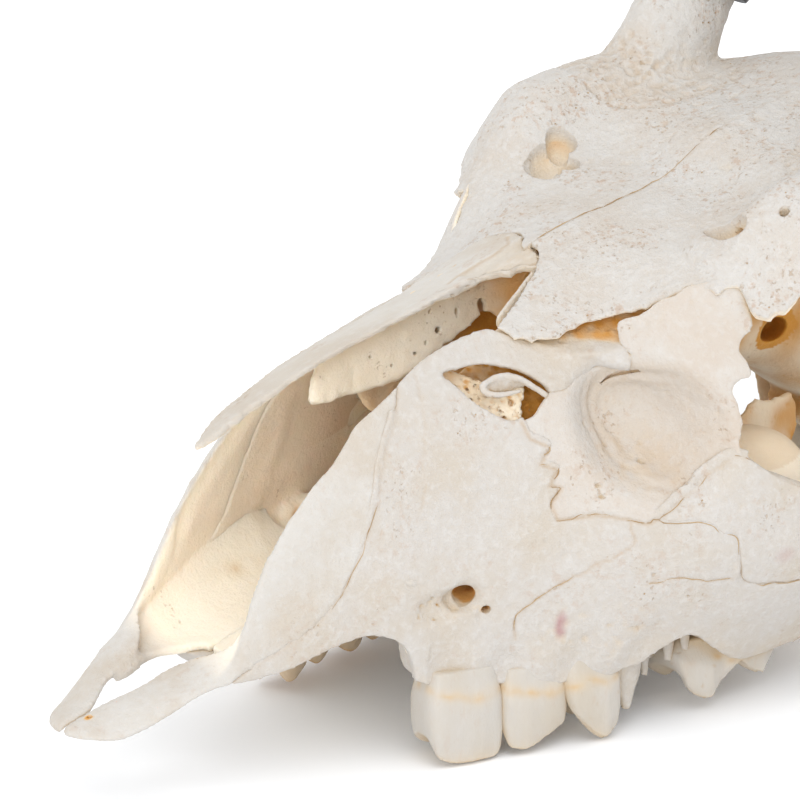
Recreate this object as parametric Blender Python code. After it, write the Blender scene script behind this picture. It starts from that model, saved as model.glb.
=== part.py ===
"""Skull of a steenbok: still, life size, lying on its cheek teeth and the processes behind the ears.

Lengths below are millimetres. X is across the skull and positive on the animal's left, D is the
distance back from the tip of the snout, Z is the height above the floor.
"""
import math

import bpy
import bmesh
import numpy as np
from mathutils import Vector
from mathutils.geometry import delaunay_2d_cdt

for old in list(bpy.data.objects):
    bpy.data.objects.remove(old, do_unlink=True)

MM = 0.001
SNOUT_TIP = -1.6
SKULL_END = 142.0
MIDDLE_D = (SNOUT_TIP + SKULL_END) / 2
SUTURE_GAP = 0.3
MESH_STEP = 3.1
SUTURE_STEP = 2.3
MIDDLE_BAND = 4.0
SLOPE_REACH = 0.9

# Forms of the face.

# Side of the face: at each distance D, the half width X at five heights, top to bottom (Z, X).
SIDE_OF_FACE = {
    8.0: ((15.0, 6.4), (13.6, 6.9), (12.2, 7.2), (11.0, 7.4), (8.0, 7.5)),
    12.0: ((17.4, 7.0), (16.0, 7.5), (14.6, 8.0), (13.2, 8.3), (9.0, 8.4)),
    16.0: ((22.0, 7.4), (19.6, 8.0), (17.2, 8.7), (15.0, 9.2), (10.0, 9.4)),
    20.0: ((28.6, 7.1), (24.4, 8.5), (20.0, 9.4), (16.5, 10.1), (11.0, 10.3)),
    25.0: ((35.0, 6.1), (29.5, 9.0), (23.5, 10.4), (18.0, 11.2), (11.0, 11.2)),
    30.0: ((38.0, 5.8), (33.0, 9.3), (26.5, 11.5), (18.5, 12.7), (10.0, 12.4)),
    38.0: ((39.2, 6.1), (35.0, 10.2), (27.0, 13.5), (17.5, 14.9), (6.0, 14.2)),
    46.0: ((40.8, 6.6), (36.5, 11.2), (28.0, 15.9), (18.0, 17.9), (5.0, 16.9)),
    54.0: ((43.0, 9.5), (37.5, 13.0), (30.0, 19.3), (20.0, 22.2), (5.0, 18.6)),
    60.0: ((46.0, 14.5), (40.0, 18.6), (31.0, 22.6), (20.5, 24.8), (5.0, 19.4)),
    66.0: ((47.0, 19.5), (41.0, 22.6), (32.0, 25.2), (20.0, 26.4), (4.0, 19.6)),
    76.0: ((48.0, 22.0), (41.0, 25.5), (32.0, 27.6), (20.0, 28.0), (4.0, 19.8)),
    88.0: ((48.0, 24.0), (41.0, 27.0), (32.0, 29.0), (20.0, 29.0), (4.0, 19.0)),
    106.0: ((48.0, 24.0), (41.0, 27.0), (32.0, 28.0), (20.0, 28.0), (4.0, 19.0)),
}
# Roof: at each D, the height Z at five distances X from the midline.
ROOF_ACROSS = (0.0, 6.5, 13.0, 18.5, 22.5, 27.0)
ROOF = {
    14.0: (33.2, 31.0, 27.0, 23.0, 20.0, 16.0),
    22.0: (36.4, 34.6, 31.0, 28.0, 25.0, 22.0),
    30.0: (39.2, 37.5, 34.0, 31.0, 28.0, 25.0),
    38.0: (41.0, 39.2, 35.5, 32.0, 29.0, 26.0),
    46.0: (42.8, 41.0, 37.5, 34.0, 31.0, 28.0),
    52.0: (44.4, 42.6, 39.4, 37.4, 35.0, 32.0),
    57.0: (45.7, 44.2, 41.6, 40.4, 38.6, 35.0),
    62.0: (46.8, 46.0, 44.8, 44.0, 41.0, 37.0),
    65.0: (47.2, 46.6, 46.4, 46.4, 43.2, 38.6),
    69.0: (47.8, 47.6, 48.0, 51.0, 49.4, 43.4),
    73.0: (48.6, 48.4, 49.4, 53.2, 52.6, 47.0),
    80.0: (52.2, 51.4, 51.8, 54.0, 53.2, 49.0),
    88.0: (53.8, 53.0, 52.8, 53.2, 51.8, 48.4),
    96.0: (55.6, 54.8, 53.2, 50.8, 48.2, 43.8),
    104.0: (55.2, 54.2, 51.6, 47.8, 44.6, 40.0),
}

# Edges, as (D, Z) seen from the side or (D, X) seen from above. Neighbours share each suture.
SNOUT_TOP_EDGE = ((9.4, 12.0), (10.8, 15.0), (12.6, 17.0), (14.6, 18.6), (16.6, 22.2), (18.4, 25.4),
                  (20.8, 28.8), (23.4, 31.4), (26.2, 34.2), (29.0, 36.3), (34.0, 37.5))
SNOUT_SUTURE = ((34.0, 37.5), (31.2, 33.4), (29.4, 27.6), (26.8, 23.0), (24.4, 19.6), (21.8, 16.8),
                (18.2, 14.9), (14.2, 13.6), (12.4, 12.2))
SNOUT_LOWER_EDGE = ((12.4, 12.2), (11.2, 11.6), (9.8, 11.2), (9.4, 12.0))
# The flat blade of the snout, seen from above, with its height along the middle and the outer side.
BLADE = ((-1.6, 1.9), (-1.5, 0.2), (1.5, 0.0), (3.4, 0.1), (5.0, 0.8), (8.0, 1.35), (11.9, 1.2),
         (14.6, 0.75), (16.3, 0.2), (16.3, 6.6), (13.4, 6.9), (12.0, 8.0), (11.0, 8.1),
         (9.2, 7.6), (6.6, 7.0), (4.7, 6.3), (2.1, 5.1), (-0.3, 4.0), (-1.2, 3.0))
BLADE_MIDDLE = ((-1.6, 8.6), (1.5, 9.6), (5.8, 11.0), (10.8, 12.0), (16.3, 12.6))
BLADE_SIDE = ((-1.6, 8.0), (2.1, 7.7), (6.6, 9.8), (11.3, 12.3), (16.3, 13.2))
BLADE_HALF = ((-1.6, 2.6), (2.1, 4.9), (6.6, 7.0), (16.3, 8.2))
GAP_EDGE = ((31.6, 9.4), (31.2, 12.0), (29.6, 14.0), (26.4, 14.5), (21.8, 13.8), (18.4, 12.8),
            (12.4, 12.2))
NOSE_WALL_TOP = ((34.0, 37.5), (38.2, 38.7), (42.0, 39.4), (45.2, 39.9), (48.0, 38.7), (52.6, 38.2),
                 (56.8, 37.6))
TEAR_BONE_TOP = ((56.8, 37.6), (53.6, 36.4), (50.4, 35.4), (48.4, 35.2))
FACE_OPENING = ((48.4, 35.2), (46.4, 36.8), (43.6, 37.6), (38.2, 37.5), (39.2, 35.6), (41.4, 33.6),
                (44.4, 33.2))
TEAR_SUTURE = ((44.4, 33.2), (44.8, 31.0), (46.0, 28.8), (45.6, 26.6), (46.0, 24.2), (50.6, 23.8),
               (54.4, 23.4))
CHEEK_SUTURE = ((54.4, 23.4), (58.6, 22.0), (61.4, 20.4), (62.4, 17.2), (63.6, 14.8), (69.6, 14.2),
                (76.0, 14.0), (80.0, 13.0))
CHEEK_HIND = ((80.0, 13.0), (82.4, 9.6), (80.6, 6.6), (76.0, 6.0))
SOCKET_EDGE = ((76.0, 6.0), (70.6, 5.2), (66.4, 5.2), (62.6, 7.6), (59.4, 9.8), (56.4, 8.8),
               (53.0, 7.4), (47.0, 6.4), (40.5, 7.1), (36.0, 8.2), (31.6, 9.4))
TEAR_CHEEK_SUTURE = ((54.4, 23.4), (57.4, 24.8), (61.0, 27.4), (63.4, 28.4))
TEAR_RIM = ((63.4, 28.4), (63.0, 31.8), (63.4, 35.2), (64.6, 37.6), (65.0, 40.6), (65.4, 42.6),
            (64.4, 44.2))
TEAR_UPPER_EDGE = ((64.4, 44.2), (61.8, 43.4), (59.4, 41.2), (58.4, 39.2), (56.8, 37.6))
SOCKET_RIM_LOW = ((63.4, 28.4), (65.6, 26.6), (69.0, 24.2), (74.0, 22.2), (80.0, 21.6), (86.0, 22.4),
                  (90.6, 25.0), (93.6, 29.0), (95.0, 33.6))
CHEEK_BAR = ((98.6, 33.6), (97.8, 28.0), (97.6, 23.6), (105.0, 22.4), (105.0, 18.6), (96.0, 17.4),
             (88.0, 15.4), (80.0, 13.0))

LEFT_FRONT = ((56.2, 0.0), (56.0, 1.6), (51.0, 4.8), (45.8, 7.0))
LEFT_LOW_EDGE = ((45.8, 7.0), (48.6, 9.4), (51.0, 10.4), (54.4, 11.6), (57.4, 12.8), (60.0, 15.4),
                 (63.4, 18.6), (65.0, 22.0), (66.0, 23.8))
RIGHT_FRONT = ((55.0, 0.0), (57.0, 2.2), (57.7, 4.3), (57.2, 6.6), (54.3, 9.1), (49.0, 8.2))
RIGHT_LOW_EDGE = ((49.0, 8.2), (50.4, 11.0), (54.8, 13.4), (59.9, 15.6), (63.0, 18.2), (64.6, 21.2),
                  (66.0, 23.8))
FRONTAL_RIM = ((66.0, 23.8), (68.6, 25.0), (72.0, 25.9), (78.0, 26.8), (85.0, 27.1),
               (91.0, 26.6), (95.0, 27.8), (98.6, 27.8))
FRONTAL_HIND = ((98.6, 27.8), (99.4, 22.0), (100.0, 12.0), (100.0, 0.0))
NASAL_SIDE = ((49.0, 8.2), (44.0, 6.2), (39.0, 5.2), (33.0, 4.5), (26.0, 3.9), (21.0, 3.3),
              (16.2, 1.4), (17.2, 0.0), (55.0, 0.0))


def smooth_at(xs, ys, x):
    """Cubic through the given stations, with flat-limited slopes so that it never overshoots."""
    xs = np.asarray(xs, float)
    ys = np.asarray(ys, float)
    x = np.clip(x, xs[0], xs[-1])
    step = np.diff(xs)
    rise = np.diff(ys, axis=0) / step.reshape((-1,) + (1,) * (ys.ndim - 1))
    slope = np.empty_like(ys)
    slope[1:-1] = np.where(rise[:-1] * rise[1:] > 0,
                           2 * rise[:-1] * rise[1:] / (rise[:-1] + rise[1:] + 1e-12), 0)
    slope[0] = rise[0]
    slope[-1] = rise[-1]
    i = np.clip(np.searchsorted(xs, x) - 1, 0, len(step) - 1)
    h = step[i]
    t = (x - xs[i]) / h
    if ys.ndim > 1 and np.ndim(t):
        h = h[:, None]
        t = t[:, None]
    return ((2 * t**3 - 3 * t**2 + 1) * ys[i] + (t**3 - 2 * t**2 + t) * h * slope[i]
            + (3 * t**2 - 2 * t**3) * ys[i + 1] + (t**3 - t**2) * h * slope[i + 1])


FACE_STATIONS = sorted(SIDE_OF_FACE)
FACE_HEIGHTS = np.array([[z for z, _ in SIDE_OF_FACE[d]] for d in FACE_STATIONS])
FACE_WIDTHS = np.array([[x for _, x in SIDE_OF_FACE[d]] for d in FACE_STATIONS])
ROOF_STATIONS = sorted(ROOF)
ROOF_HEIGHTS = np.array([ROOF[d] for d in ROOF_STATIONS])

GLAND_PIT = (55.6, 31.0)
GLAND_PIT_HALF = (7.9, 7.2)
GLAND_PIT_DEEP = 4.6
NERVE_HOLE = (35.4, 17.0)
NERVE_HOLE_HALF = (4.0, 2.2)
NERVE_HOLE_DEEP = 1.1
BROW_HOLE = (70.2, 13.4)
BROW_HOLE_HALF = (3.0, 2.4)
BROW_HOLE_DEEP = 1.3
HORN_D = 86.2
HORN_X = 18.2
HORN_FOOT = 11.5
HORN_FOOT_RISE = 1.6


def pit(a, b, centre, half, deep, flat=0.35):
    r = math.hypot((a - centre[0]) / half[0], (b - centre[1]) / half[1])
    if r >= 1:
        return 0.0
    t = max(r - flat, 0) / (1 - flat)
    return deep * (1 - t * t * (3 - 2 * t))


def face_x(d, z):
    """Half width of the face at distance d and height z."""
    heights = smooth_at(FACE_STATIONS, FACE_HEIGHTS, d)
    widths = smooth_at(FACE_STATIONS, FACE_WIDTHS, d)
    x = float(smooth_at(heights[::-1], widths[::-1], z))
    x -= pit(d, z, GLAND_PIT, GLAND_PIT_HALF, GLAND_PIT_DEEP)
    x -= pit(d, z, NERVE_HOLE, NERVE_HOLE_HALF, NERVE_HOLE_DEEP)
    return x


def roof_z(d, x):
    """Height of the roof of the skull at distance d, x from the midline."""
    z = float(smooth_at(ROOF_ACROSS, smooth_at(ROOF_STATIONS, ROOF_HEIGHTS, d), abs(x)))
    z -= pit(d, abs(x), BROW_HOLE, BROW_HOLE_HALF, BROW_HOLE_DEEP)
    away = math.hypot(d - HORN_D, abs(x) - HORN_X) / HORN_FOOT
    if away < 1:
        z += HORN_FOOT_RISE * (1 - away) ** 2
    return z


# Building tools.


def to_scene(x, d, z):
    return (x * MM, (d - MIDDLE_D) * MM, z * MM)


def mesh_object(name, points, faces):
    """A closed mesh with its faces turned outwards."""
    mesh = bpy.data.meshes.new(name)
    mesh.from_pydata([to_scene(*p) for p in points], [], faces)
    work = bmesh.new()
    work.from_mesh(mesh)
    bmesh.ops.remove_doubles(work, verts=work.verts, dist=1e-7)
    bmesh.ops.recalc_face_normals(work, faces=work.faces)
    if work.calc_volume(signed=True) < 0:
        bmesh.ops.reverse_faces(work, faces=work.faces)
    work.to_mesh(mesh)
    work.free()
    obj = bpy.data.objects.new(name, mesh)
    bpy.context.scene.collection.objects.link(obj)
    return obj


def joined(*lines):
    """Edge lines end to end as one closed outline, each shared corner kept once."""
    points = []
    for line in lines:
        for p in line:
            if not points or math.dist(p, points[-1]) > 1e-6:
                points.append(p)
    if math.dist(points[0], points[-1]) < 1e-6:
        points.pop()
    return points


def back(line):
    return tuple(reversed(line))


def divided(outline, step):
    points = []
    for i, a in enumerate(outline):
        b = outline[(i + 1) % len(outline)]
        parts = max(1, round(math.dist(a, b) / step))
        points += [(a[0] + (b[0] - a[0]) * k / parts, a[1] + (b[1] - a[1]) * k / parts)
                   for k in range(parts)]
    return points


def drawn_in(points, amount):
    """The outline moved inwards by this amount."""
    area = sum(a[0] * b[1] - b[0] * a[1] for a, b in zip(points, points[1:] + points[:1]))
    side = 1 if area > 0 else -1
    moved = []
    for i, p in enumerate(points):
        before = Vector(p) - Vector(points[i - 1])
        after = Vector(points[(i + 1) % len(points)]) - Vector(p)
        before.normalize()
        after.normalize()
        n = Vector((-(before.y + after.y), before.x + after.x)) * side
        length = n.length
        if length < 1e-6:
            moved.append(p)
            continue
        scale = amount * 2 / max(length, 0.9) / length
        moved.append((p[0] + n.x * scale, p[1] + n.y * scale))
    return moved


def inside(point, outline):
    x, y = point
    found = False
    for i, a in enumerate(outline):
        b = outline[i - 1]
        if (a[1] > y) != (b[1] > y) and x < (b[0] - a[0]) * (y - a[1]) / (b[1] - a[1]) + a[0]:
            found = not found
    return found


def clear_of(point, outline, least):
    return all(math.dist(point, p) > least for p in outline)


def plate_points(outline, step):
    """Triangles over an outline: its own points first, then a staggered field inside it."""
    low = [min(p[i] for p in outline) for i in (0, 1)]
    high = [max(p[i] for p in outline) for i in (0, 1)]
    field = []
    row = 0
    b = low[1] + step * 0.4
    while b < high[1]:
        a = low[0] + step * (0.3 + 0.5 * (row % 2))
        while a < high[0]:
            if inside((a, b), outline) and clear_of((a, b), outline, step * 0.55):
                field.append((a, b))
            a += step
        b += step * 0.87
        row += 1
    count = len(outline)
    edges = [(i, (i + 1) % count) for i in range(count)]
    flat = [Vector(p) for p in outline + field]
    points, _, faces, _, _, _ = delaunay_2d_cdt(flat, edges, [], 1, 1e-5)
    return [tuple(p) for p in points], [tuple(f) for f in faces]


def plate(name, outline, side_view, thick, side=1, step=MESH_STEP, edge_step=SUTURE_STEP,
          form=None, gap=SUTURE_GAP / 2):
    """A curved plate of bone: an outline seen from the side or from above, laid on the skull's form."""
    form = form or (face_x if side_view else roof_z)
    flat, faces = plate_points(drawn_in(divided(outline, edge_step), gap), step)
    outer = []
    inner = []
    small = SLOPE_REACH
    for a, b in flat:
        da = (form(a + small, b) - form(a - small, b)) / (2 * small)
        db = (form(a, b + small) - form(a, b - small)) / (2 * small)
        c = form(a, b)
        n = Vector((1, -da, -db)).normalized()
        deep = thick(a, b) if callable(thick) else thick
        if side_view:
            outer.append((c * side, a, b))
            inner.append(((c - n[0] * deep) * side, a - n[1] * deep, b - n[2] * deep))
        else:
            upright_near_middle = min(abs(b) / MIDDLE_BAND, 1)
            outer.append((b * side, a, c))
            inner.append(((b - n[2] * deep * upright_near_middle) * side, a - n[1] * deep,
                          c - n[0] * deep))
    count = len(outer)
    edge_use = {}
    for face in faces:
        for i, a in enumerate(face):
            b = face[(i + 1) % len(face)]
            edge_use[(a, b)] = edge_use.get((a, b), 0) + 1
    walls = [(a, b, b + count, a + count) for (a, b) in edge_use if (b, a) not in edge_use]
    under = [tuple(i + count for i in reversed(f)) for f in faces]
    walls = [tuple(reversed(w)) for w in walls]
    return mesh_object(name, outer + inner, list(faces) + under + walls)


def loft(name, rings):
    """Rings of equally many points joined into a closed skin."""
    count = len(rings[0])
    points = [p for ring in rings for p in ring]
    faces = []
    for r in range(len(rings) - 1):
        for i in range(count):
            j = (i + 1) % count
            faces.append((r * count + i, r * count + j, (r + 1) * count + j, (r + 1) * count + i))
    faces.append(tuple(range(count))[::-1])
    faces.append(tuple(range((len(rings) - 1) * count, len(rings) * count)))
    return mesh_object(name, points, faces)


def ring(centre, across, up, half_a, half_b, count, power=2.0):
    """A rounded ring about a centre, in the plane of two directions."""
    points = []
    for k in range(count):
        angle = 2 * math.pi * k / count
        c = math.cos(angle)
        s = math.sin(angle)
        a = half_a * math.copysign(abs(c) ** (2 / power), c)
        b = half_b * math.copysign(abs(s) ** (2 / power), s)
        points.append(tuple(centre[i] + across[i] * a + up[i] * b for i in range(3)))
    return points


def tube(name, path, radii, count=10):
    """A bar of oval section along a path: radii are (sideways, upright) at each point."""
    rings = []
    for i, p in enumerate(path):
        a = Vector(path[max(i - 1, 0)])
        b = Vector(path[min(i + 1, len(path) - 1)])
        along = (b - a).normalized()
        side = along.cross(Vector((0, 0, 1)))
        if side.length < 0.2:
            side = Vector((1, 0, 0))
        side.normalize()
        up = side.cross(along)
        rings.append(ring(p, side, up, radii[i][0], radii[i][1], count))
    return loft(name, rings)


def ball(name, centre, half, segments=14, rings=9):
    stack = []
    for r in range(1, rings):
        angle = math.pi * r / rings
        c = (centre[0], centre[1], centre[2] - half[2] * math.cos(angle))
        stack.append(ring(c, (1, 0, 0), (0, 1, 0), half[0] * math.sin(angle),
                          half[1] * math.sin(angle), segments))
    return loft(name, stack)


def drop_small_bodies(obj):
    """Keeps only the largest closed surface of a mesh."""
    work = bmesh.new()
    work.from_mesh(obj.data)
    work.faces.ensure_lookup_table()
    seen = set()
    bodies = []
    for face in work.faces:
        if face.index in seen:
            continue
        body = []
        stack = [face]
        seen.add(face.index)
        while stack:
            f = stack.pop()
            body.append(f)
            for edge in f.edges:
                for other in edge.link_faces:
                    if other.index not in seen:
                        seen.add(other.index)
                        stack.append(other)
        bodies.append(body)
    bodies.sort(key=lambda body: -sum(f.calc_area() for f in body))
    for body in bodies[1:]:
        bmesh.ops.delete(work, geom=body, context="FACES")
    work.to_mesh(obj.data)
    work.free()


def boolean(obj, others, operation):
    """Joins the other closed meshes to this one, or cuts them from it, and removes them."""
    tools = bpy.data.collections.new("tools")
    for other in others:
        bpy.context.scene.collection.objects.unlink(other)
        tools.objects.link(other)
    modifier = obj.modifiers.new("join", "BOOLEAN")
    modifier.operation = operation
    modifier.operand_type = "COLLECTION"
    modifier.collection = tools
    modifier.solver = "EXACT"
    graph = bpy.context.evaluated_depsgraph_get()
    made = bpy.data.meshes.new_from_object(obj.evaluated_get(graph))
    obj.modifiers.clear()
    obj.data = made
    for other in list(tools.objects):
        bpy.data.objects.remove(other, do_unlink=True)
    bpy.data.collections.remove(tools)
    drop_small_bodies(obj)
    return obj


def material(name, colour, roughness):
    made = bpy.data.materials.new(name)
    made.use_nodes = True
    shader = made.node_tree.nodes["Principled BSDF"]
    shader.inputs["Base Color"].default_value = (*colour, 1)
    shader.inputs["Roughness"].default_value = roughness
    shader.inputs["Metallic"].default_value = 0
    return made


def finish(obj, colour, roughness, smooth=True):
    obj.data.materials.clear()
    obj.data.materials.append(material(obj.name + "_surface", colour, roughness))
    for polygon in obj.data.polygons:
        polygon.use_smooth = smooth
        polygon.material_index = 0
    if smooth:
        obj.data.set_sharp_from_angle(angle=math.radians(50))


BONE = (0.80, 0.74, 0.64)
THIN_BONE = (0.78, 0.68, 0.52)
HORN_BLACK = (0.02, 0.018, 0.016)

# Teeth and jaw block.

# Each tooth crown: centre D, centre X, half length, half width, lowest Z, turn outwards in degrees.
TEETH_LEFT = (
    ("premolar_2", 37.3, 12.3, 4.1, 3.0, 0.0, -14),
    ("premolar_3", 44.7, 13.8, 3.4, 3.3, 0.3, -10),
    ("premolar_4", 51.4, 14.9, 3.3, 3.8, 0.0, -6),
    ("molar_1_root", 56.0, 17.0, 1.1, 0.9, 1.9, 0),
    ("molar_2_front", 64.8, 15.0, 3.6, 4.1, 0.0, 2),
    ("molar_2_hind", 71.2, 14.8, 3.3, 4.0, 0.3, 4),
)
TEETH_RIGHT = TEETH_LEFT[:3] + (
    ("molar_1_front", 56.0, 15.2, 1.9, 3.9, 0.4, 0),
    ("molar_1_hind", 59.6, 15.2, 1.6, 4.0, 0.6, 0),
) + TEETH_LEFT[4:]
CROWN_RING = 14
ROOT_IN = 2.6


def socket_z(d):
    """Height of the jaw's lower border above the teeth."""
    ds = [p[0] for p in back(SOCKET_EDGE)]
    zs = [p[1] for p in back(SOCKET_EDGE)]
    return float(np.interp(d, ds, zs))


def tooth(name, d, x, half_long, half_wide, lowest, turn, side):
    """A crown: neck in the jaw, a swollen wall, and a chewing face with its outer crest lowest."""
    top = socket_z(d) + ROOT_IN
    neck = socket_z(d)
    angle = math.radians(turn)
    along = (math.sin(angle) * side * -1, math.cos(angle), 0)
    across = (math.cos(angle) * side, math.sin(angle), 0)
    shapes = (
        (top, 0.74, 0.76, 0.0),
        (neck - 0.4, 0.90, 0.90, 0.0),
        (neck * 0.6 + lowest * 0.4, 0.99, 1.0, 0.0),
        (lowest + 1.7, 1.0, 0.97, 0.08),
        (lowest + 0.5, 0.90, 0.66, 0.32),
        (lowest, 0.36, 0.14, 0.66),
    )
    rings = []
    for z, long_share, wide_share, outward in shapes:
        centre = tuple((x * side, d, z)[i] + across[i] * half_wide * outward for i in range(3))
        rings.append(ring(centre, along, across, half_long * long_share,
                          half_wide * wide_share, CROWN_RING, 2.8))
    return loft(name, rings)


BLOCK_FRONT = 34.0
BLOCK_HIND = 79.5
BLOCK_STEPS = 19
BLOCK_WALL_IN = 0.7
BLOCK_TALL = 6.5
TOOTH_ROW = ((31.0, 10.9), (37.0, 12.1), (44.0, 13.6), (51.0, 14.8), (60.0, 15.3), (72.0, 14.8), (82.0, 14.0))


def row_x(d):
    return float(np.interp(d, [p[0] for p in TOOTH_ROW], [p[1] for p in TOOTH_ROW]))


def jaw_block(name, side):
    """The swollen bone around the roots, along the tooth row."""
    rings = []
    for k in range(BLOCK_STEPS):
        d = BLOCK_FRONT + (BLOCK_HIND - BLOCK_FRONT) * k / (BLOCK_STEPS - 1)
        low = socket_z(d) + 0.15
        high = low + BLOCK_TALL
        outer_low = face_x(d, low + 0.3) - BLOCK_WALL_IN
        outer_high = face_x(d, high) - BLOCK_WALL_IN
        half = 4.0 if d > 48 else 3.3
        inner = row_x(d) - half - 0.6
        rings.append([(inner * side, d, low + 1.4), (inner * side, d, high - 2.0),
                      ((inner + 1.6) * side, d, high), (outer_high * side, d, high),
                      ((outer_low + outer_high) / 2 * side, d, (low + high) / 2),
                      (outer_low * side, d, low + 0.5), ((outer_low - 1.4) * side, d, low),
                      ((inner + 1.4) * side, d, low)])
    return loft(name, rings)


PALATE_HEIGHT = ((16.6, 12.9), (20.0, 14.0), (30.0, 14.4), (38.0, 12.4), (50.0, 11.6), (66.0, 11.4),
                 (80.0, 12.6))
PALATE_ARCH = 1.8
PALATE_ARCH_FROM = 17.0
PALATE_ARCH_FULL = 34.0
PALATE_OUTLINE = ((16.6, 0.0), (16.6, 6.6), (18.0, 8.2), (24.0, 9.8), (29.0, 10.6), (33.0, 10.0),
                  (37.0, 9.8), (48.0, 11.4), (60.0, 12.2), (70.0, 12.0), (77.0, 11.0), (74.0, 6.0),
                  (70.0, 0.0))
PALATE_THICK = 1.3


def palate_z(d, x):
    ds = [p[0] for p in PALATE_HEIGHT]
    zs = [p[1] for p in PALATE_HEIGHT]
    grown = min(max((d - PALATE_ARCH_FROM) / (PALATE_ARCH_FULL - PALATE_ARCH_FROM), 0), 1)
    return float(smooth_at(ds, zs, d)) + PALATE_ARCH * grown * (1 - min(abs(x) / 11.0, 1.0) ** 2)


# Swelling behind the teeth on the floor of the eye socket, and the shell under the forehead's edge.
SWELLING = (15.5, 72.5, 18.2)
SWELLING_HALF = (5.4, 9.0, 6.8)
SHELL = ((44.6, 6.4), (48.0, 5.8), (53.0, 6.8), (57.0, 8.6), (59.6, 11.4), (58.0, 13.2), (55.0, 12.9),
         (52.0, 11.9), (49.0, 11.2), (46.4, 10.2), (44.8, 8.4))
SHELL_THICK = 0.9
SHELL_UNDER = 1.8
SHELL_SINK = 1.5


def shell_z(d, x):
    return roof_z(d, x) - SHELL_UNDER - SHELL_SINK * min(max((d - 48.0) / 9.0, 0), 1)


# The bones, front to back.

FACE_THICK = 1.3
SNOUT_THICK = 1.4
ROOF_THICK = 2.0
NASAL_THICK = 1.2


def snout_thick(d, z):
    return SNOUT_THICK if d < 14 else 1.2


def blade_z(d, x):
    middle, outer, half = (float(np.interp(d, [p[0] for p in line], [p[1] for p in line]))
                           for line in (BLADE_MIDDLE, BLADE_SIDE, BLADE_HALF))
    share = min(max((abs(x) - 1.0) / (half - 1.0), 0), 1)
    return middle + (outer - middle) * share + 0.5 * math.sin(math.pi * share)


def frontal_thick(d, x):
    return 1.1 + 1.0 * min(max((d - 47.0) / 14.0, 0), 1)


for side, tag in ((1, "left"), (-1, "right")):
    premaxilla = plate("premaxilla_" + tag,
                       joined(SNOUT_TOP_EDGE, SNOUT_SUTURE, SNOUT_LOWER_EDGE), True, snout_thick,
                       side, 2.4)
    boolean(premaxilla, [plate("blade", BLADE, False, SNOUT_THICK, side, 2.2, 2.0, blade_z)], "UNION")
    finish(premaxilla, BONE, 0.6)

    maxilla = plate("maxilla_" + tag,
                    joined(back(SNOUT_SUTURE), NOSE_WALL_TOP, TEAR_BONE_TOP, FACE_OPENING,
                           TEAR_SUTURE, CHEEK_SUTURE, CHEEK_HIND, SOCKET_EDGE, GAP_EDGE),
                    True, FACE_THICK, side)
    pieces = [jaw_block("block", side)]
    pieces.append(plate("palate", PALATE_OUTLINE, False, PALATE_THICK, side, 4.0, 4.0, palate_z))
    pieces.append(ball("swelling", (SWELLING[0] * side, *SWELLING[1:]), SWELLING_HALF))
    pieces.append(plate("shell", SHELL, False, SHELL_THICK, side, 3.0, 3.0, shell_z, 0.0))
    for crown in TEETH_LEFT if side > 0 else TEETH_RIGHT:
        pieces.append(tooth(*crown, side))
    boolean(maxilla, pieces, "UNION")
    finish(maxilla, BONE, 0.6)

    lacrimal = plate("lacrimal_" + tag,
                     joined(back(TEAR_SUTURE), back(((48.4, 35.2), (44.4, 33.2))),
                            back(TEAR_BONE_TOP), back(TEAR_UPPER_EDGE), back(TEAR_RIM),
                            back(TEAR_CHEEK_SUTURE)),
                     True, 1.2, side, 1.9)
    finish(lacrimal, BONE, 0.6)

    zygomatic = plate("zygomatic_" + tag,
                      joined(TEAR_CHEEK_SUTURE, SOCKET_RIM_LOW, CHEEK_BAR, back(CHEEK_SUTURE)),
                      True, 2.2, side, 2.6)
    finish(zygomatic, BONE, 0.6)

# Horns.

HORN_START_Z = 50.0
HORN_BACK_TILT = 33.0
HORN_TIP_TILT = 8.0
HORN_OUT_TILT = 2.0
HORN_LEVEL_FOOT = 8.0
SHEATH_RIM = 12.0
SHEATH_LENGTH = 82.0
SOCKET_DEEP = 4.0
CORE_RADII = ((-0.5, 8.2), (1.5, 7.5), (3.5, 6.2), (6.0, 5.3), (9.0, 4.85), (12.0, 4.65),
              (SHEATH_RIM + SOCKET_DEEP - 0.3, 4.45))
SHEATH_RADII = ((0.0, 5.8), (0.8, 6.1), (10.0, 5.9), (24.0, 5.5), (40.0, 5.0), (56.0, 4.1),
                (68.0, 2.8), (76.0, 1.7), (80.4, 0.8), (SHEATH_LENGTH, 0.3))
HORN_RING = 20


def horn_axis(t, side):
    """Point on the horn's axis t along it, with the directions across and up the section."""
    x, d, z = HORN_X, HORN_D, HORN_START_Z
    steps = 24
    total = SHEATH_RIM + SHEATH_LENGTH
    along = None
    for k in range(steps):
        share = min(max(t, 0) / total, 1) * (k + 0.5) / steps
        tilt = math.radians(HORN_BACK_TILT + (HORN_TIP_TILT - HORN_BACK_TILT) * share)
        out = math.radians(HORN_OUT_TILT)
        along = Vector((math.sin(out), math.sin(tilt) * math.cos(out), math.cos(tilt) * math.cos(out)))
        x += along.x * t / steps
        d += along.y * t / steps
        z += along.z * t / steps
    along.x *= side
    across = Vector((side, 0, 0)) - along * (along.x * side)
    across.normalize()
    return (x * side, d, z), across, along.cross(across)


def horn_ring(t, radius, side, count=HORN_RING):
    centre, across, up = horn_axis(t, side)
    level = Vector((0, math.copysign(1, up.y), 0))
    up = level.lerp(up, min(max(t / HORN_LEVEL_FOOT, 0), 1)).normalized()
    return ring(centre, across, up, radius * 0.95, radius * 1.05, count)


FRONTAL_EDGES = {1: (LEFT_FRONT, LEFT_LOW_EDGE), -1: (RIGHT_FRONT, RIGHT_LOW_EDGE)}

# Bar behind the eye.

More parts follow.
